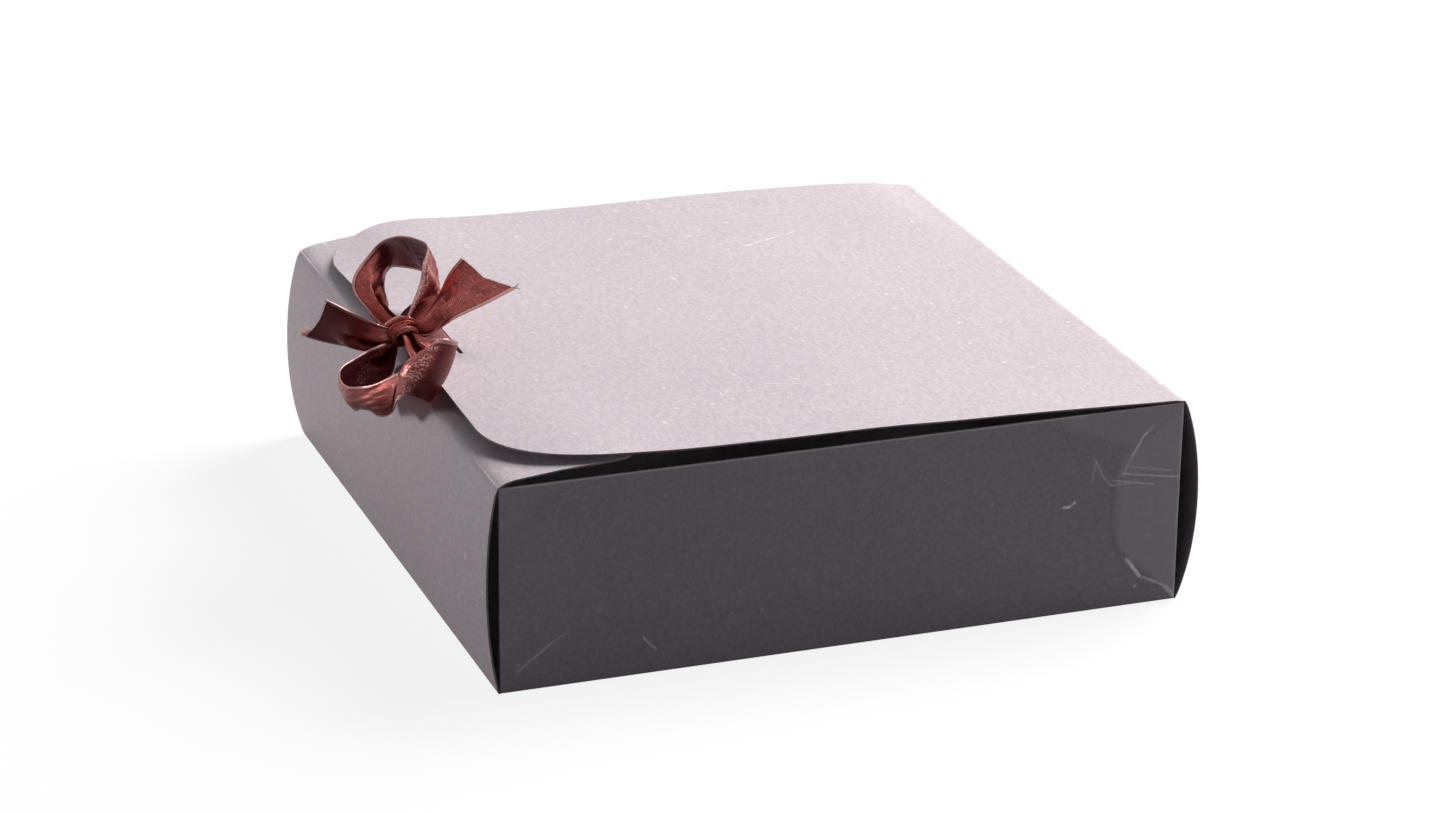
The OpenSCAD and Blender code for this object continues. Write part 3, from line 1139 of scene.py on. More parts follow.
    def build(self) -> None:
        """Makes every panel and gives the base and the glue tabs their card."""
        worn = PearlCard(
            name="pearl_card_end",
            rubbed=0.95,
            plane=(1, 2),
            pale_marks=END_PALE_MARKS,
            dark_marks=END_DARK_MARKS,
        ).build()
        front = self.wall("front_wall_sheet", -1, self.front_bow, self.front_crease)
        back = self.wall("back_wall_sheet", 1, self.back_bow, self.back_crease)
        for piece, node, body in (
            (front, "front_wall", "carton"),
            (back, "back_wall", "carton"),
            (self.end_wall("right_end_sheet", 1, worn), "right_end_wall", "carton"),
            (self.end_wall("left_end_sheet", -1, self.card_face), "left_end_wall", "carton"),
            (self.lid(), "lid", "lid"),
            (self.flap(), "front_flap", "flap"),
        ):
            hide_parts(node)
            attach(piece, body)
        tabs = [f"tab_{end}_{side}" for end in ("front", "back") for side in ("right", "left")]
        for node in ("base_panel", *tabs):
            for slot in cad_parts[node].material_slots:
                slot.material = self.inner_face
            LOG.info("%s: card", node)


# Facets of an end wall, raised and given a painted highlight: beside the back tab's head, at the front
# top corner and at the front foot
END_FACETS = (
    Facet((62.9 * MM, 56.4 * MM), -0.4, 1, 1.2 * MM, 1, (0.060, 0.066), 0.7),
    Facet((-84.0 * MM, 59.0 * MM), 0.9, 1, 2.5 * MM, -1, (0.070, 0.080), 0.3),
    Facet((-97.0 * MM, 4.5 * MM), 0.75, -1, 0.8 * MM, -1, (0.072, 0.084), 0.12),
)
# Lines on the right end wall, by place along it and height: the pale ones are painted highlights where
# folds and edges catch the light, with some scuffs, and the dark ones are darker lines
END_PALE_MARKS = (
    Mark((-0.0950, 0.0056), (-0.0855, 0.0124), 0.0006, 0.45),
    Mark((-0.0855, 0.0124), (-0.0810, 0.0150), 0.0006, 0.35),
    Mark((0.0817, 0.0402), (0.0993, 0.0370), 0.0004, 0.55),
    Mark((0.0781, 0.0386), (0.0914, 0.0359), 0.0004, 0.50),
    Mark((0.0840, 0.0420), (0.0970, 0.0392), 0.0003, 0.40),
    Mark((0.0641, 0.0323), (0.0656, 0.0321), 0.0006),
    Mark((0.0656, 0.0321), (0.0674, 0.0333), 0.0006),
    Mark((0.0842, 0.0139), (0.0882, 0.0085), 0.0008),
    Mark((0.0882, 0.0085), (0.0960, 0.0046), 0.0006, 0.65),
    Mark((0.0732, 0.0452), (0.0756, 0.0401), 0.0004, 0.50),
    Mark((0.0756, 0.0401), (0.0783, 0.0370), 0.0004, 0.50),
    Mark((0.0783, 0.0370), (0.0850, 0.0372), 0.0004, 0.40),
    Mark((0.0732, 0.0452), (0.0722, 0.0380), 0.0004, 0.35),
    Mark((0.0842, 0.0451), (0.0875, 0.0508), 0.0006, 0.60),
    Mark((0.0875, 0.0508), (0.0905, 0.0535), 0.0005, 0.40),
    Mark((0.0842, 0.0451), (0.0818, 0.0400), 0.0005, 0.45),
    Mark((-0.0589, 0.0106), (-0.0554, 0.0066), 0.0005, 0.7),
    Mark((0.0868, 0.0053), (0.0869, 0.0055), 0.0006, 0.9),
    Mark((0.0881, 0.0513), (0.0883, 0.0513), 0.0006, 0.9),
    Mark((0.0992, 0.0030), (0.0992, 0.0570), 0.0005, 0.40),
    Mark((-0.0960, 0.0590), (0.0700, 0.0590), 0.0005, 0.30),
    Mark((0.0965, 0.0040), (0.0990, 0.0012), 0.0010, 0.8),
)
END_DARK_MARKS = (
    Mark((0.0621, 0.0566), (0.0661, 0.0490), 0.0004, 0.7),
    Mark((0.0661, 0.0490), (0.0688, 0.0450), 0.0003, 0.5),
    Mark((0.0815, 0.0390), (0.0808, 0.0270), 0.0009, 0.25),
    Mark((0.0808, 0.0270), (0.0799, 0.0190), 0.0008, 0.2),
    Mark((0.0905, 0.0510), (0.0925, 0.0540), 0.0004, 0.6),
)
# Scratches on the lid, by its own two directions
LID_SCRATCHES = (
    Mark((-0.0506, 0.0251), (-0.0597, 0.0451), 0.0003),
    Mark((0.0601, -0.0113), (0.0663, 0.0071), 0.0002),
)
# Heights of the lid's two side edges, by distance behind the front crease
LID_RIGHT_EDGE = Curve(
    np.array([0, 15, 29, 40, 51, 68, 91, 114, 126, 150, 174, 200]) * MM,
    np.array([64.2, 65.2, 65.4, 64.8, 64.2, 63.8, 63.5, 63.2, 62.7, 62.0, 61.1, 60.0]) * MM,
)
LID_LEFT_EDGE = Curve(
    np.array([0, 14, 17.5, 21, 30, 38, 48, 67, 86, 126, 145, 166, 186, 200]) * MM,
    np.array([62.2, 64.2, 64.9, 65.5, 66.0, 65.8, 65.2, 64.6, 64.3, 64.2, 63.8, 63.2, 61.9, 60.0]) * MM,
)
# Heights of the flap's two side edges above the crease, by distance from it
FLAP_RIGHT_EDGE = Curve(
    np.array([0, 2.5, 10, 18, 28, 34, 40]) * MM, np.array([0, 0.75, 1.8, 2.6, 3.1, 3.5, 4.1]) * MM
)
FLAP_LEFT_EDGE = Curve(
    np.array([0, 2.5, 10, 18, 28, 34, 40]) * MM, np.array([0, 0.55, 1.7, 2.6, 3.4, 3.8, 4.2]) * MM
)


# ---------------------------------------------------------------- ribbon


class Hold(Enum):
    """How a stretch of ribbon is held."""

    GATHERED = "gathered"
    FOLDED = "folded"


@dataclass(frozen=True)
class Station:
    """One cross-line of a ribbon: its two edge points, and how it is gathered there.

    Points are in millimetres from the middle of the lid's front edge, on its top face.
    """

    near: Point
    far: Point
    crown: float
    pleats: float


@dataclass(frozen=True)
class Crinkle:
    """A line on the ribbon where the satin is drawn into small puckers, with painted highlights on them
    and painted shade between them.

    Its ends are given as shares of the stretch's length and of its width.
    """

    start: tuple[float, float]
    end: tuple[float, float]
    reach: float = 1.6

    def on(self, u: np.ndarray, v: np.ndarray, length: float, width: float) -> np.ndarray:
        """How strongly the satin is drawn up at each place.

        Args:
            u: Shares of the length.
            v: Shares of the width.
            length: The stretch's length in millimetres.
            width: The ribbon's width in millimetres.

        Returns:
            1 on the line and 0 clear of it.
        """
        size = np.array([length, width])
        start, run = np.array(self.start) * size, (np.array(self.end) - np.array(self.start)) * size
        place = np.stack([u, v], axis=-1) * size - start
        along = np.clip((place @ run) / (run @ run), 0.0, 1.0)
        away = np.linalg.norm(place - along[..., None] * run, axis=-1)
        return 1.0 - ease(away, 0.35 * self.reach, self.reach)


@dataclass
class RibbonStretch:
    """A stretch of ribbon between two places where it is held, in millimetres.

    Shine below puts the shining face on the lower side, and turned is the share of the length at
    which the two faces change over. The back face's darker colour is partly painted shade, so these
    choose where that shade shows.
    """

    name: str
    stations: list[Station]
    hold: Hold
    width: float = 20.0
    thick: float = 0.3
    rows: int = 150
    columns: int = 33
    pleat_count: float = 4.0
    crinkle: float = 0.07
    drift: float = 0.6
    shine_below: bool = False
    turned: float = 0.0
    crinkles: tuple[Crinkle, ...] = ()
    seed: float = 0.0
    end_cut: Callable[[np.ndarray], np.ndarray] | None = None

    TALLEST = 14.0
    HALVINGS = 40
    SECOND_FOLD = (0.35, 0.83, 1.7)
    WRINKLES = ((5.1, 13.0, 1.0), (2.9, 8.0, 0.7), (1.7, 5.0, 0.45))
    SHARP_EDGE = 60.0
    CHANGE = 0.01

    def __post_init__(self) -> None:
        """Fits smooth lines through the stations."""
        near = np.array([s.near for s in self.stations], float)
        far = np.array([s.far for s in self.stations], float)
        at = lengths_of((near + far) / 2)
        at = at / at[-1]
        self.near, self.far = Curve(at, near), Curve(at, far)
        self.crown = Curve(at, [s.crown for s in self.stations])
        self.pleats = Curve(at, [s.pleats for s in self.stations])

    def surface(self) -> np.ndarray:
        """Middle surface of the ribbon as a grid of points, rows along it and columns across."""
        u = np.linspace(0.0, 1.0, self.rows)
        v = np.linspace(0.0, 1.0, self.columns)
        near, far = self.near(u), self.far(u)
        middle = (near + far) / 2
        across = unit(far - near)
        chord = np.linalg.norm(far - near, axis=1)
        along = unit(np.gradient(middle, axis=0))
        out = unit(np.cross(along, across))
        crown, pleats = self.crown(u), np.clip(self.pleats(u), 0.0, 1.0)
        arch = np.sin(math.pi * v)[None, :] * (1 - pleats[:, None])
        phase = self.seed + self.drift * np.sin(u * 5.0 + self.seed)[:, None]
        fold = np.sin(2 * math.pi * (self.pleat_count / 2) * v[None, :] + phase)
        share, pace, lead = self.SECOND_FOLD
        second = 2 * math.pi * (self.pleat_count * pace) * v[None, :] + lead + phase
        fold = fold + share * np.sin(second)
        fold = fold * pleats[:, None] * np.sin(math.pi * np.clip(v, 0.02, 0.98))[None, :] ** 0.3
        shape = arch + fold
        low, high = np.zeros(len(u)), np.full(len(u), self.TALLEST)
        for _ in range(self.HALVINGS):
            size = (low + high) / 2
            rise = np.diff(shape, axis=1) * size[:, None]
            arc = np.sqrt(rise**2 + (chord / (len(v) - 1))[:, None] ** 2).sum(axis=1)
            long = arc > self.width
            high = np.where(long, size, high)
            low = np.where(long, low, size)
        grid = near[:, None] + (far - near)[:, None] * v[None, :, None]
        rise = (arch * crown[:, None] + fold) * size[:, None]
        return grid + out[:, None] * rise[..., None]

    def wrinkle(self, grid: np.ndarray, normal: np.ndarray) -> np.ndarray:
        """The grid with fine lengthwise wrinkles."""
        u = lengths_of(grid[:, self.columns // 2])[:, None]
        v = np.linspace(0.0, self.width, self.columns)[None, :]
        wave = np.zeros(grid.shape[:2])
        for k, (pitch, slow, share) in enumerate(self.WRINKLES):
            drift = self.seed + 1.3 * k + 0.9 * np.sin(u / slow * 2.1 + k * 2.2 + self.seed)
            gate = 0.5 + 0.5 * np.sin(u / slow * 3.1 + v / pitch * 0.4 + k)
            wave += share * gate * np.sin(2 * math.pi * v / pitch + drift * 3.0)
        return grid + normal * (wave * self.crinkle)[..., None]

    @staticmethod
    def normals(grid: np.ndarray) -> np.ndarray:
        """Unit normals of a grid of points."""
        return unit(np.cross(np.gradient(grid, axis=0), np.gradient(grid, axis=1)))

    def build(self, satin: bpy.types.Material, origin: np.ndarray) -> bpy.types.Object:
        """Makes the ribbon as a thin closed solid with its flat place as UV.

        Args:
            satin: Its material.
            origin: The point that the stations are measured from, in metres.

        Returns:
            The object.
        """
        grid = self.surface()
        grid = self.wrinkle(grid, self.normals(grid))
        if self.end_cut is not None:
            grid = self._trim(grid)
        normal = self.normals(grid)
        length = lengths_of(grid[:, self.columns // 2])[-1]
        self.flat_length = float(length)
        self.end_line = grid[-1] * MM + origin
        self.end_way = unit(grid[-1] - grid[-3])
        rows, columns = grid.shape[:2]
        upper = grid + normal * self.thick / 2
        lower = grid - normal * self.thick / 2
        points = np.concatenate([upper.reshape(-1, 3), lower.reshape(-1, 3)]) * MM + origin
        n = rows * columns
        index = np.arange(n).reshape(rows, columns)
        quads = quads_of(index)
        rim = [*index[0, :-1], *index[:-1, -1], *index[-1, :0:-1], *index[:0:-1, 0]]
        faces = [*quads, *(quads[:, ::-1] + n)]
        faces += [[p, q, q + n, p + n] for p, q in zip(rim, [*rim[1:], rim[0]])]
        made = make_object(self.name, points, faces, [satin], None, self.SHARP_EDGE)
        uv = made.data.uv_layers.new(name="flat")
        place = np.zeros((n, 2))
        place[:, 0] = np.repeat(np.linspace(0, length, rows), columns) * MM
        place[:, 1] = np.tile(np.linspace(0, self.width, columns), rows) * MM
        place = np.concatenate([place, place])
        u, v = np.meshgrid(np.linspace(0, 1, rows), np.linspace(0, 1, columns), indexing="ij")
        drawn = np.zeros((rows, columns))
        for crinkle in self.crinkles:
            drawn = np.maximum(drawn, crinkle.on(u, v, length, self.width))
        # Back is 1 where the back face, darkened partly as painted shade, lies on that side
        below = np.zeros_like(u)
        if self.turned:
            below = 1.0 - ease(u, self.turned - self.CHANGE, self.turned + self.CHANGE)
        below = np.abs(below - float(self.shine_below)).ravel()
        back = np.concatenate([below, 1.0 - below])
        store(made.data, {"back": back, "drawn": np.tile(drawn.ravel(), 2)})
        corners = np.zeros(len(made.data.loops), np.int32)
        made.data.loops.foreach_get("vertex_index", corners)
        uv.data.foreach_set("uv", place[corners].astype(np.float32).ravel())
        return made

    def _trim(self, grid: np.ndarray) -> np.ndarray:
        """The grid with its last rows drawn back to the line of the cut."""
        v = np.linspace(0.0, 1.0, self.columns)
        keep = self.end_cut(v)
        u = np.linspace(0.0, 1.0, self.rows)
        out = grid.copy()
        for c in range(self.columns):
            for axis in range(3):
                out[:, c, axis] = np.interp(u * keep[c], u, grid[:, c, axis])
        return out


class FrayedEnd(ShapeTree):
    """Rule that stands loose threads along a cut end of the ribbon."""

    SIZES = ("Count", "Shortest", "Longest", "Thickness", "Spread", "Seed")
    BEND = (0.12, 0.0, 0.5)
    TIP = (0.0, 0.1, 1.0)

    def __init__(self) -> None:
        """Builds the tree."""
        super().__init__("frayed_end", self.SIZES, ("Thread",))
        line = self.made("GeometryNodeMeshToCurve", {"Mesh": self.given("Shape")})
        spots = {"Curve": line, "Count": self.given("Count")}
        bend = {"Resolution": 5, "Start": (0, 0, 0), "Middle": self.BEND, "End": self.TIP}
        bent = self.made("GeometryNodeCurveQuadraticBezier", bend)
        long = self._random("FLOAT", self.given("Shortest"), self.given("Longest"), 0.0)
        stray = self._random("FLOAT_VECTOR", (-1.0, -1.0, -1.0), (1.0, 1.0, 1.0), 7.0)
        stray = {"Vector": stray, "Scale": self.given("Spread")}
        ways = {0: self.stored("outwards", "FLOAT_VECTOR")}
        ways[1] = self.made("ShaderNodeVectorMath", stray, operation="SCALE")
        way = {"Vector": self.made("ShaderNodeVectorMath", ways, operation="ADD")}
        threads = {
            "Points": self.made("GeometryNodeResampleCurve", spots, mode="COUNT"),
            "Instance": self.made(
                "GeometryNodeCurveToMesh", {"Curve": bent, "Profile Curve": self._section()}
            ),
            "Rotation": self.made("FunctionNodeAlignRotationToVector", way, axis="Z"),
            "Scale": self.made("ShaderNodeCombineXYZ", dict.fromkeys("XYZ", long)),
        }
        self.end(self.made("GeometryNodeInstanceOnPoints", threads), {"Thread": {}})

    def _section(self) -> Sock:
        """The thread's section, as a share of its length, at the thickness asked for."""
        values = {"Resolution": 5, "Radius": 0.5}
        ring = self.made("GeometryNodeCurvePrimitiveCircle", values, mode="RADIUS")
        share = self.given("Thickness") / self.given("Longest")
        scale = self.made("ShaderNodeCombineXYZ", {"X": share, "Y": share, "Z": 1.0})
        return self.made("GeometryNodeTransform", {"Geometry": ring, "Scale": scale})

    def _random(self, kind: str, low: Any, high: Any, shift: float) -> Sock:
        """A random value for each thread."""
        node = self.add("FunctionNodeRandomValue", data_type=kind)
        least, most = (k for k, i in enumerate(node.inputs) if i.enabled and i.name in ("Min", "Max"))
        self.fill(node, {least: low, most: high, "Seed": self.given("Seed") + shift})
        return Sock(self, next(o for o in node.outputs if o.enabled))


def left_loop() -> RibbonStretch:
    """The upper loop, which leaves the knot to the left and comes back over the lid."""
    return RibbonStretch(
        "left_loop",
        [
            Station((0.5, -1.5, 3.5), (0.0, 0.5, 2.0), 1.0, 1.0),
            Station((-3.0, -3.0, 3.5), (-2.5, 0.0, 3.0), 0.5, 1.0),
            Station((-6.0, -5.5, 5.5), (-5.0, -1.0, 3.5), 0.0, 0.9),
            Station((-9.5, -8.0, 9.0), (-7.5, -2.0, 4.5), -0.1, 0.6),
            Station((-13.0, -10.5, 12.5), (-12.0, -0.5, 6.0), -0.35, 0.15),
            Station((-15.0, -9.0, 16.5), (-17.5, -0.5, 8.5), -0.5, 0.0),
            Station((-16.0, -5.5, 20.0), (-23.0, 0.5, 11.0), -0.5, 0.0),
            Station((-16.5, -1.5, 23.5), (-27.0, 5.5, 12.0), -0.3, 0.0),
            Station((-15.5, 2.5, 25.2), (-26.0, 11.0, 11.0), 1.0, 0.0),
            Station((-12.5, 6.5, 25.5), (-22.0, 15.0, 10.2), 1.0, 0.0),
            Station((-8.5, 9.8, 24.5), (-18.0, 16.2, 8.2), 1.0, 0.0),
            Station((-4.5, 8.0, 21.5), (-14.0, 13.5, 5.2), 1.0, 0.0),
            Station((-3.5, 6.0, 15.5), (-8.5, 10.0, 3.6), 1.0, 0.3),
            Station((-2.0, 3.5, 11.0), (-4.5, 6.5, 3.6), 1.0, 0.7),
            Station((-0.8, 1.2, 6.6), (-1.8, 3.0, 3.8), 1.0, 1.0),
            Station((-0.5, 0.2, 4.2), (-0.8, 1.0, 3.0), 1.0, 1.0),
        ],
        Hold.GATHERED,
        crinkle=0.11,
        crinkles=(Crinkle((0.70, 0.03), (0.97, 0.10), 2.2), Crinkle((0.02, 0.5), (0.12, 0.4), 3.0)),
        turned=0.42,
        seed=0.7,
    )


def right_loop() -> RibbonStretch:
    """The lower loop, which leaves the knot to the right and comes back in front of it."""
    return RibbonStretch(
        "right_loop",
        [
            Station((3.0, 2.0, 3.2), (3.0, 1.4, 1.6), 0.3, 1.0),
            Station((8.5, 2.8, 3.6), (7.5, -0.6, 0.0), 0.3, 1.0),
            Station((16.0, 2.4, 5.6), (13.5, -3.2, -0.6), 0.2, 0.6),
            Station((24.0, 2.8, 8.5), (20.0, -6.0, -0.6), 0.3, 0.2),
            Station((31.0, 4.0, 10.6), (26.0, -8.0, -3.0), 0.4, 0.0),
            Station((37.0, 4.6, 12.0), (33.0, -6.5, -4.0), 0.8, 0.0),
            Station((41.0, 4.0, 13.2), (39.0, -4.3, -4.6), 1.0, 0.0),
            Station((45.5, 0.0, 15.6), (42.5, -8.0, -2.0), 1.0, 0.0),
            Station((45.5, -3.0, 16.2), (42.0, -10.5, -0.8), 1.0, 0.0),
            Station((43.5, -4.5, 12.2), (38.5, -12.7, -2.9), 1.0, 0.0),
            Station((41.5, -5.5, 9.2), (36.0, -12.7, -5.6), 0.8, 0.0),
            Station((39.0, -8.0, 6.5), (33.0, -12.5, -8.3), 0.6, 0.0),
            Station((36.5, -11.0, 4.5), (30.0, -13.4, -10.4), 0.5, 0.0),
            Station((33.5, -14.0, 2.0), (26.5, -14.8, -11.5), 0.45, 0.0),
            Station((29.5, -17.2, -1.0), (22.0, -15.8, -11.7), 0.35, 0.0),
            Station((24.5, -20.2, -3.1), (17.0, -16.7, -12.8), 0.3, 0.0),
            Station((20.0, -22.2, -4.1), (12.5, -16.9, -14.7), 0.25, 0.0),
            Station((16.5, -22.8, -3.1), (8.5, -16.5, -16.2), 0.3, 0.0),
            Station((14.5, -22.0, -1.2), (5.0, -15.5, -14.5), 0.6, 0.0),
            Station((11.5, -17.8, -0.3), (4.0, -12.0, -13.5), 0.5, 0.05),
            Station((7.5, -11.2, 0.9), (4.0, -7.6, -11.5), 0.4, 0.15),
            Station((4.0, -6.4, 0.8), (6.0, -4.9, -8.2), 0.6, 0.45),
            Station((2.0, -2.4, 1.8), (3.5, -3.0, -0.6), 1.0, 1.0),
        ],
        Hold.GATHERED,
        rows=260,
        crinkle=0.11,
        crinkles=(Crinkle((0.425, 0.05), (0.435, 1.0), 1.8), Crinkle((0.86, 0.75), (0.93, 0.2), 2.5)),
        turned=0.415,
        seed=2.1,
    )


def swallow_cut(v: np.ndarray) -> np.ndarray:
    """Share of the back tail's length that is left at each place across it."""
    return 0.93 + 0.07 * np.abs(2 * v - 1) ** 0.9


def slant_cut(v: np.ndarray) -> np.ndarray:
    """Share of the front tail's length that is left at each place across it."""
    return 0.945 + 0.02 * np.clip(1 - v / 0.35, 0, 1) + 0.055 * np.clip((v - 0.45) / 0.55, 0, 1) ** 1.6


def back_tail() -> RibbonStretch:
    """The tail that stands up over the lid."""
    return RibbonStretch(
        "back_tail",
        [
            Station((2.0, 1.5, 3.5), (3.5, 1.5, 3.0), 0.0, 1.0),
            Station((2.6, 4.3, 4.8), (7.0, 4.4, 3.6), 0.0, 1.0),
            Station((-1.8, 10.2, 8.9), (10.4, 9.4, 7.2), -0.15, 0.35),
            Station((-4.0, 14.8, 16.2), (14.5, 19.0, 12.8), -0.2, 0.0),
            Station((-1.0, 17.8, 22.0), (14.8, 28.8, 17.0), 0.3, 0.0),
        ],
        Hold.GATHERED,
        rows=110,
        crinkle=0.03,
        shine_below=True,
        seed=3.3,
        end_cut=swallow_cut,
    )


def front_tail() -> RibbonStretch:
    """The tail that points down to the left, in front of the flap."""
    return RibbonStretch(
        "front_tail",
        [
            Station((1.5, -1.5, 3.0), (1.0, -1.5, 1.5), 1.0, 1.0),
            Station((2.0, -7.4, 5.1), (-1.0, -6.8, -3.0), 1.0, 0.9),
            Station((2.0, -14.3, 9.7), (-7.0, -15.2, -2.8), 0.5, 0.1),
            Station((1.5, -18.4, 12.4), (-10.0, -20.0, -2.0), 0.3, 0.0),
            Station((0.5, -22.6, 14.8), (-12.0, -25.0, -0.5), 0.2, 0.0),
        ],
        Hold.GATHERED,
        rows=110,
        crinkle=0.03,
        shine_below=True,
        seed=4.4,
        end_cut=slant_cut,
    )


@dataclass
class Bow:
    """The satin ribbon: the strap through the lid's slot, the knot, two loops and two tails.

    The knot and the strap are sized in millimetres and degrees, and placed as the stations are.
    """

    origin: Point = (0.0, -0.0965, 0.0657)
    width: float = 0.020
    knot_middle: Point = (1.5, -0.5, 2.5)
    knot_radius: float = 3.7
    knot_half: float = 4.4
    knot_share: float = 0.8
    knot_start: float = -200.0
    knot_end: float = 480.0
    knot_inner: float = 150.0
    knot_stations: int = 30
    knot_oval: float = 0.12
    knot_draw: float = 0.62
    knot_skew: float = 1.3
    strap_back: float = 11.95
    strap_front: float = -0.55
    strap_low: float = -0.95
    strap_high: float = 0.45
    strap_seam: float = 3.0
    strap_slope: float = 0.025
    strap_inset: float = 0.05

    NODES = {
        "left_loop": "bow_left_loop",
        "right_loop": "bow_right_loop",
        "back_tail": "bow_back_tail",
        "front_tail": "bow_front_tail",
        "knot_wrap": "bow_knot",
        "strap": "ribbon_strap",
    }
    SHORTEST_FLAT = 0.0101

    def __post_init__(self) -> None:
        """Makes the satin."""
        self.satin = SatinRibbon(width=self.width).build()
        self.fray = FrayedEnd()

    def frayed(
        self, name: str, tail: RibbonStretch, part: slice, values: dict[str, Any]
    ) -> bpy.types.Object:
        """Stands loose threads along part of a tail's cut end.

        Args:
            name: The piece's name.
            tail: The tail, already built.
            part: Which of the end's columns the threads stand on.
            values: The tree's inputs by name.

        Returns:
            The threads as one mesh.
        """
        line, way = tail.end_line[part], tail.end_way[part]
        mesh = bpy.data.meshes.new(name)
        mesh.from_pydata([tuple(p) for p in line], [(i, i + 1) for i in range(len(line) - 1)], [])
        outwards = mesh.attributes.new("outwards", "FLOAT_VECTOR", "POINT")
        outwards.data.foreach_set("vector", way.astype(np.float32).ravel())
        made = self.fray.run(add_object(name, mesh), values)
        LOG.info("%s: %d faces", name, len(made.data.polygons))
        return made

    def fray_tails(self, front: RibbonStretch, back: RibbonStretch) -> None:
        """Frays the cut ends of both tails.

        Args:
            front: The front tail, already built.
            back: The back tail, already built.
        """
        red = LooseThread("loose_thread_red", (0.22, 0.035, 0.03), (0.42, 0.12, 0.10)).build()
        pale = LooseThread("loose_thread_pale", (0.80, 0.42, 0.36), (0.95, 0.68, 0.60)).build()
        # Near black: partly the thread's colour and partly painted shade along the back tail's lower edge
        dark = LooseThread("loose_thread_dark", (0.05, 0.010, 0.010), (0.12, 0.03, 0.03)).build()
        short = {"Shortest": 0.2 * MM, "Longest": 0.7 * MM, "Thickness": 0.07 * MM, "Spread": 0.35}
        short |= {"Count": 64, "Thread": red}
        tuft = {"Shortest": 0.9 * MM, "Longest": 3.0 * MM, "Thickness": 0.2 * MM, "Spread": 0.5}
        stray = tuft | {"Longest": 2.0 * MM, "Count": 5, "Thread": dark}
        whole, corner, tip = slice(None), slice(-7, None), slice(-2, None)
        jobs = (
            ("front_tail_fringe", front, whole, {**short, "Seed": 3.0}),
            ("front_tail_tuft", front, corner, {**tuft, "Count": 34, "Thread": pale, "Seed": 5.0}),
            ("back_tail_fringe", back, whole, {**short, "Seed": 8.0}),
            ("back_tail_thread", back, tip, {**stray, "Seed": 9.0}),
        )
        for name, tail, part, values in jobs:
            threads = self.frayed(name, tail, part, values)
            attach(threads, "lid")

    def knot(self) -> RibbonStretch:
        """The wrap that is gathered round the roots of the loops."""
        stations = []
        cx, cy, cz = self.knot_middle
        for degrees in np.linspace(self.knot_start, self.knot_end, self.knot_stations):
            turn = math.radians(degrees)
            inside = float(ease(degrees, self.knot_inner, self.knot_end))
            oval = 1 + self.knot_oval * math.sin(2 * turn + 0.8)
            r = self.knot_radius * oval * (1 - self.knot_draw * inside)
            skew = self.knot_skew * math.sin(turn * 0.8 + 0.6) * (1 - inside)
            ends = []
            for reach, flare in ((-self.knot_half, 0.2), (self.knot_half * 0.85, -0.9 + 0.5 * inside)):
                y, z = cy + (r + flare) * math.cos(turn), cz + (r + flare) * math.sin(turn)
                ends.append((cx + reach + skew, y, z))
            stations.append(Station(*ends, 0.0, 1.0 - 0.4 * inside))
        return RibbonStretch(
            "knot_wrap",
            stations,
            Hold.GATHERED,
            width=self.width / MM * self.knot_share,
            rows=320,
            columns=81,
            pleat_count=9.0,
            drift=2.0,
            seed=5.2,
            crinkle=0.14,
            crinkles=(Crinkle((0.25, 0.55), (0.50, 0.85), 2.4),),
        )

    def strap(self) -> RibbonStretch:
        """The flat band round the lid's front margin."""
        low, high, seam = self.strap_low, self.strap_high, self.strap_seam
        front, back = self.strap_front, self.strap_back
        section = (
            (seam, low),
            (back - 0.5, low),
            (back + 0.35, low + 0.4),
            (back + 0.35, high - 0.4),
            (back - 0.5, high),
            (seam, high),
            (front + 0.85, high),
            (front, high - 0.35),
            (front, low + 0.35),
            (front + 0.85, low),
            (seam - 0.6, low - 0.02),
        )
        half = self.width / MM / 2 - self.strap_inset
        stations = []
        for y, z in section:
            z += self.strap_slope * max(y, 0.0)
            stations.append(Station((half, y, z), (-half, y, z), 0.0, 0.0))
        return RibbonStretch(
            "strap", stations, Hold.FOLDED, rows=110, columns=25, crinkle=0.0, seed=6.1, thick=0.25
        )

    def build(self) -> None:
        back, front = back_tail(), front_tail()
        for stretch in (left_loop(), right_loop(), back, front, self.knot(), self.strap()):
            made = stretch.build(self.satin, np.array(self.origin))
            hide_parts(self.NODES[stretch.name])
            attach(made, "lid")
            length = stretch.flat_length * MM
            area = None
            if stretch.end_cut is not None:
                left = stretch.end_cut(np.linspace(0, 1, 101))
                area = self.width * length * float(left.mean() / left.max())
            LOG.info("%s: %.1f mm of ribbon", stretch.name, stretch.flat_length)
        self.fray_tails(front, back)


# ---------------------------------------------------------------- studio


@dataclass(frozen=True)
class Lamp:
    """A square soft lamp that shines at the carton."""

    name: str
    place: Point
    size: float
    power: float
    colour: Point

    TARGET = (0.0, 0.0, 0.06)

    def hang(self) -> None:
        """Adds the lamp to the scene."""
        light = bpy.data.lights.new(self.name, "AREA")
        light.shape = "SQUARE"
        light.size = self.size
        light.energy = self.power
        light.color = self.colour
        made = add_object(self.name, light)
        made.location = self.place
        made.rotation_mode = "QUATERNION"
        way = Vector(self.TARGET) - Vector(self.place)
        made.rotation_quaternion = way.to_track_quat("-Z", "Y")


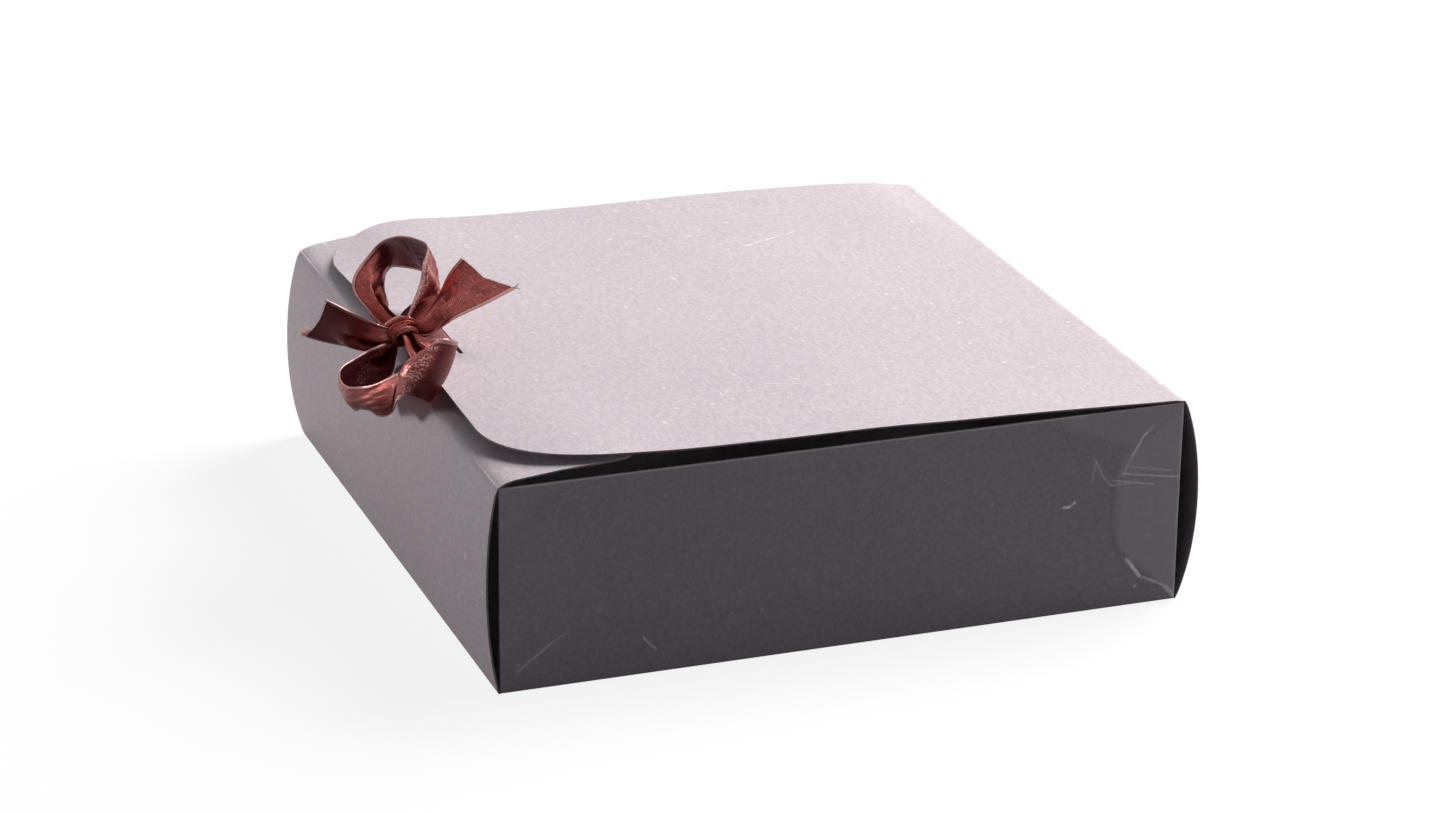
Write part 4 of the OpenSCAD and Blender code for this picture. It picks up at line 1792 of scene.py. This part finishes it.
@dataclass(frozen=True)
class Studio:
    """Floor, surroundings, lamps and camera."""

    eye: Point = (1.11039, -0.41236, 0.49312)
    azimuth: float = 69.626
    elevation: float = 21.209
    roll: float = 0.6997
    lens: float = 108.38
    sensor: float = 36.0
    clip: tuple[float, float] = (0.05, 50.0)
    dim: Point = (0.042, 0.042, 0.05)
    white: Point = (1.0, 1.0, 1.0)
    floor_half: float = 4.0
    floor_lines: int = 9
    floor_drop: float = 0.0002
    lamps: tuple[Lamp, ...] = (
        Lamp("overhead_lamp", (-0.58, 1.63, 1.80), 1.5, 94.0, (1.0, 0.98, 0.98)),
        Lamp("front_lamp", (-0.6, -0.95, -0.04), 0.3, 11.5, (1.0, 0.965, 0.975)),
        Lamp("back_lamp", (0.75, 1.5, 0.6), 0.8, 3.6, (0.92, 0.90, 1.0)),
    )

    def floor(self) -> None:
        """Lays the floor."""
        line = np.linspace(-self.floor_half, self.floor_half, self.floor_lines)
        xs, ys = np.meshgrid(line, line)
        points = np.stack([xs.ravel(), ys.ravel(), np.full(xs.size, -self.floor_drop)], axis=1)
        faces = quads_of(np.arange(xs.size).reshape(xs.shape))
        ground = make_object("floor", points, faces, [PaleFloor().build()])
        if ground.data.polygons[0].normal.z < 0:
            ground.data.flip_normals()

    def world(self) -> None:
        """Makes the surroundings: white to the eye and in gloss, dim as a light."""
        world = bpy.data.worlds.new("studio")
        world.use_nodes = True
        world.node_tree.nodes.clear()
        g = Graph(world.node_tree)
        eye, gloss, glass = g.rays()
        seen = g.made("ShaderNodeMath", {0: eye + gloss, 1: glass}, operation="ADD", use_clamp=True)
        dim, white = (
            g.made("ShaderNodeBackground", {"Color": colour, "Strength": 1.0})
            for colour in (self.dim, self.white)
        )
        mix = g.made("ShaderNodeMixShader", {0: seen, 1: dim, 2: white})
        g.add("ShaderNodeOutputWorld", {"Surface": mix})
        bpy.context.scene.world = world

    def camera(self) -> None:
        """Sets up the camera."""
        a, e, r = (math.radians(x) for x in (self.azimuth, self.elevation, self.roll))
        back = Vector((math.sin(a) * math.cos(e), -math.cos(a) * math.cos(e), math.sin(e)))
        level = Vector((math.cos(a), math.sin(a), 0.0))
        above = back.cross(level)
        right = level * math.cos(r) + above * math.sin(r)
        up = above * math.cos(r) - level * math.sin(r)
        data = bpy.data.cameras.new("camera")
        data.lens = self.lens
        data.sensor_width = self.sensor
        data.clip_start, data.clip_end = self.clip
        made = add_object("camera", data)
        turn = Matrix((right, up, back)).transposed().to_4x4()
        made.matrix_world = Matrix.Translation(self.eye) @ turn
        bpy.context.scene.camera = made

    def build(self) -> None:
        """Sets up the studio."""
        self.floor()
        for lamp in self.lamps:
            lamp.hang()
        self.world()
        self.camera()
        bpy.context.scene.view_settings.view_transform = "Standard"


def main() -> None:
    """Builds the carton, the bow and the studio."""
    logging.basicConfig(level=logging.INFO, format="%(message)s")
    Studio().build()
    Carton().build()
    Bow().build()


if __name__ == "__main__":
    main()
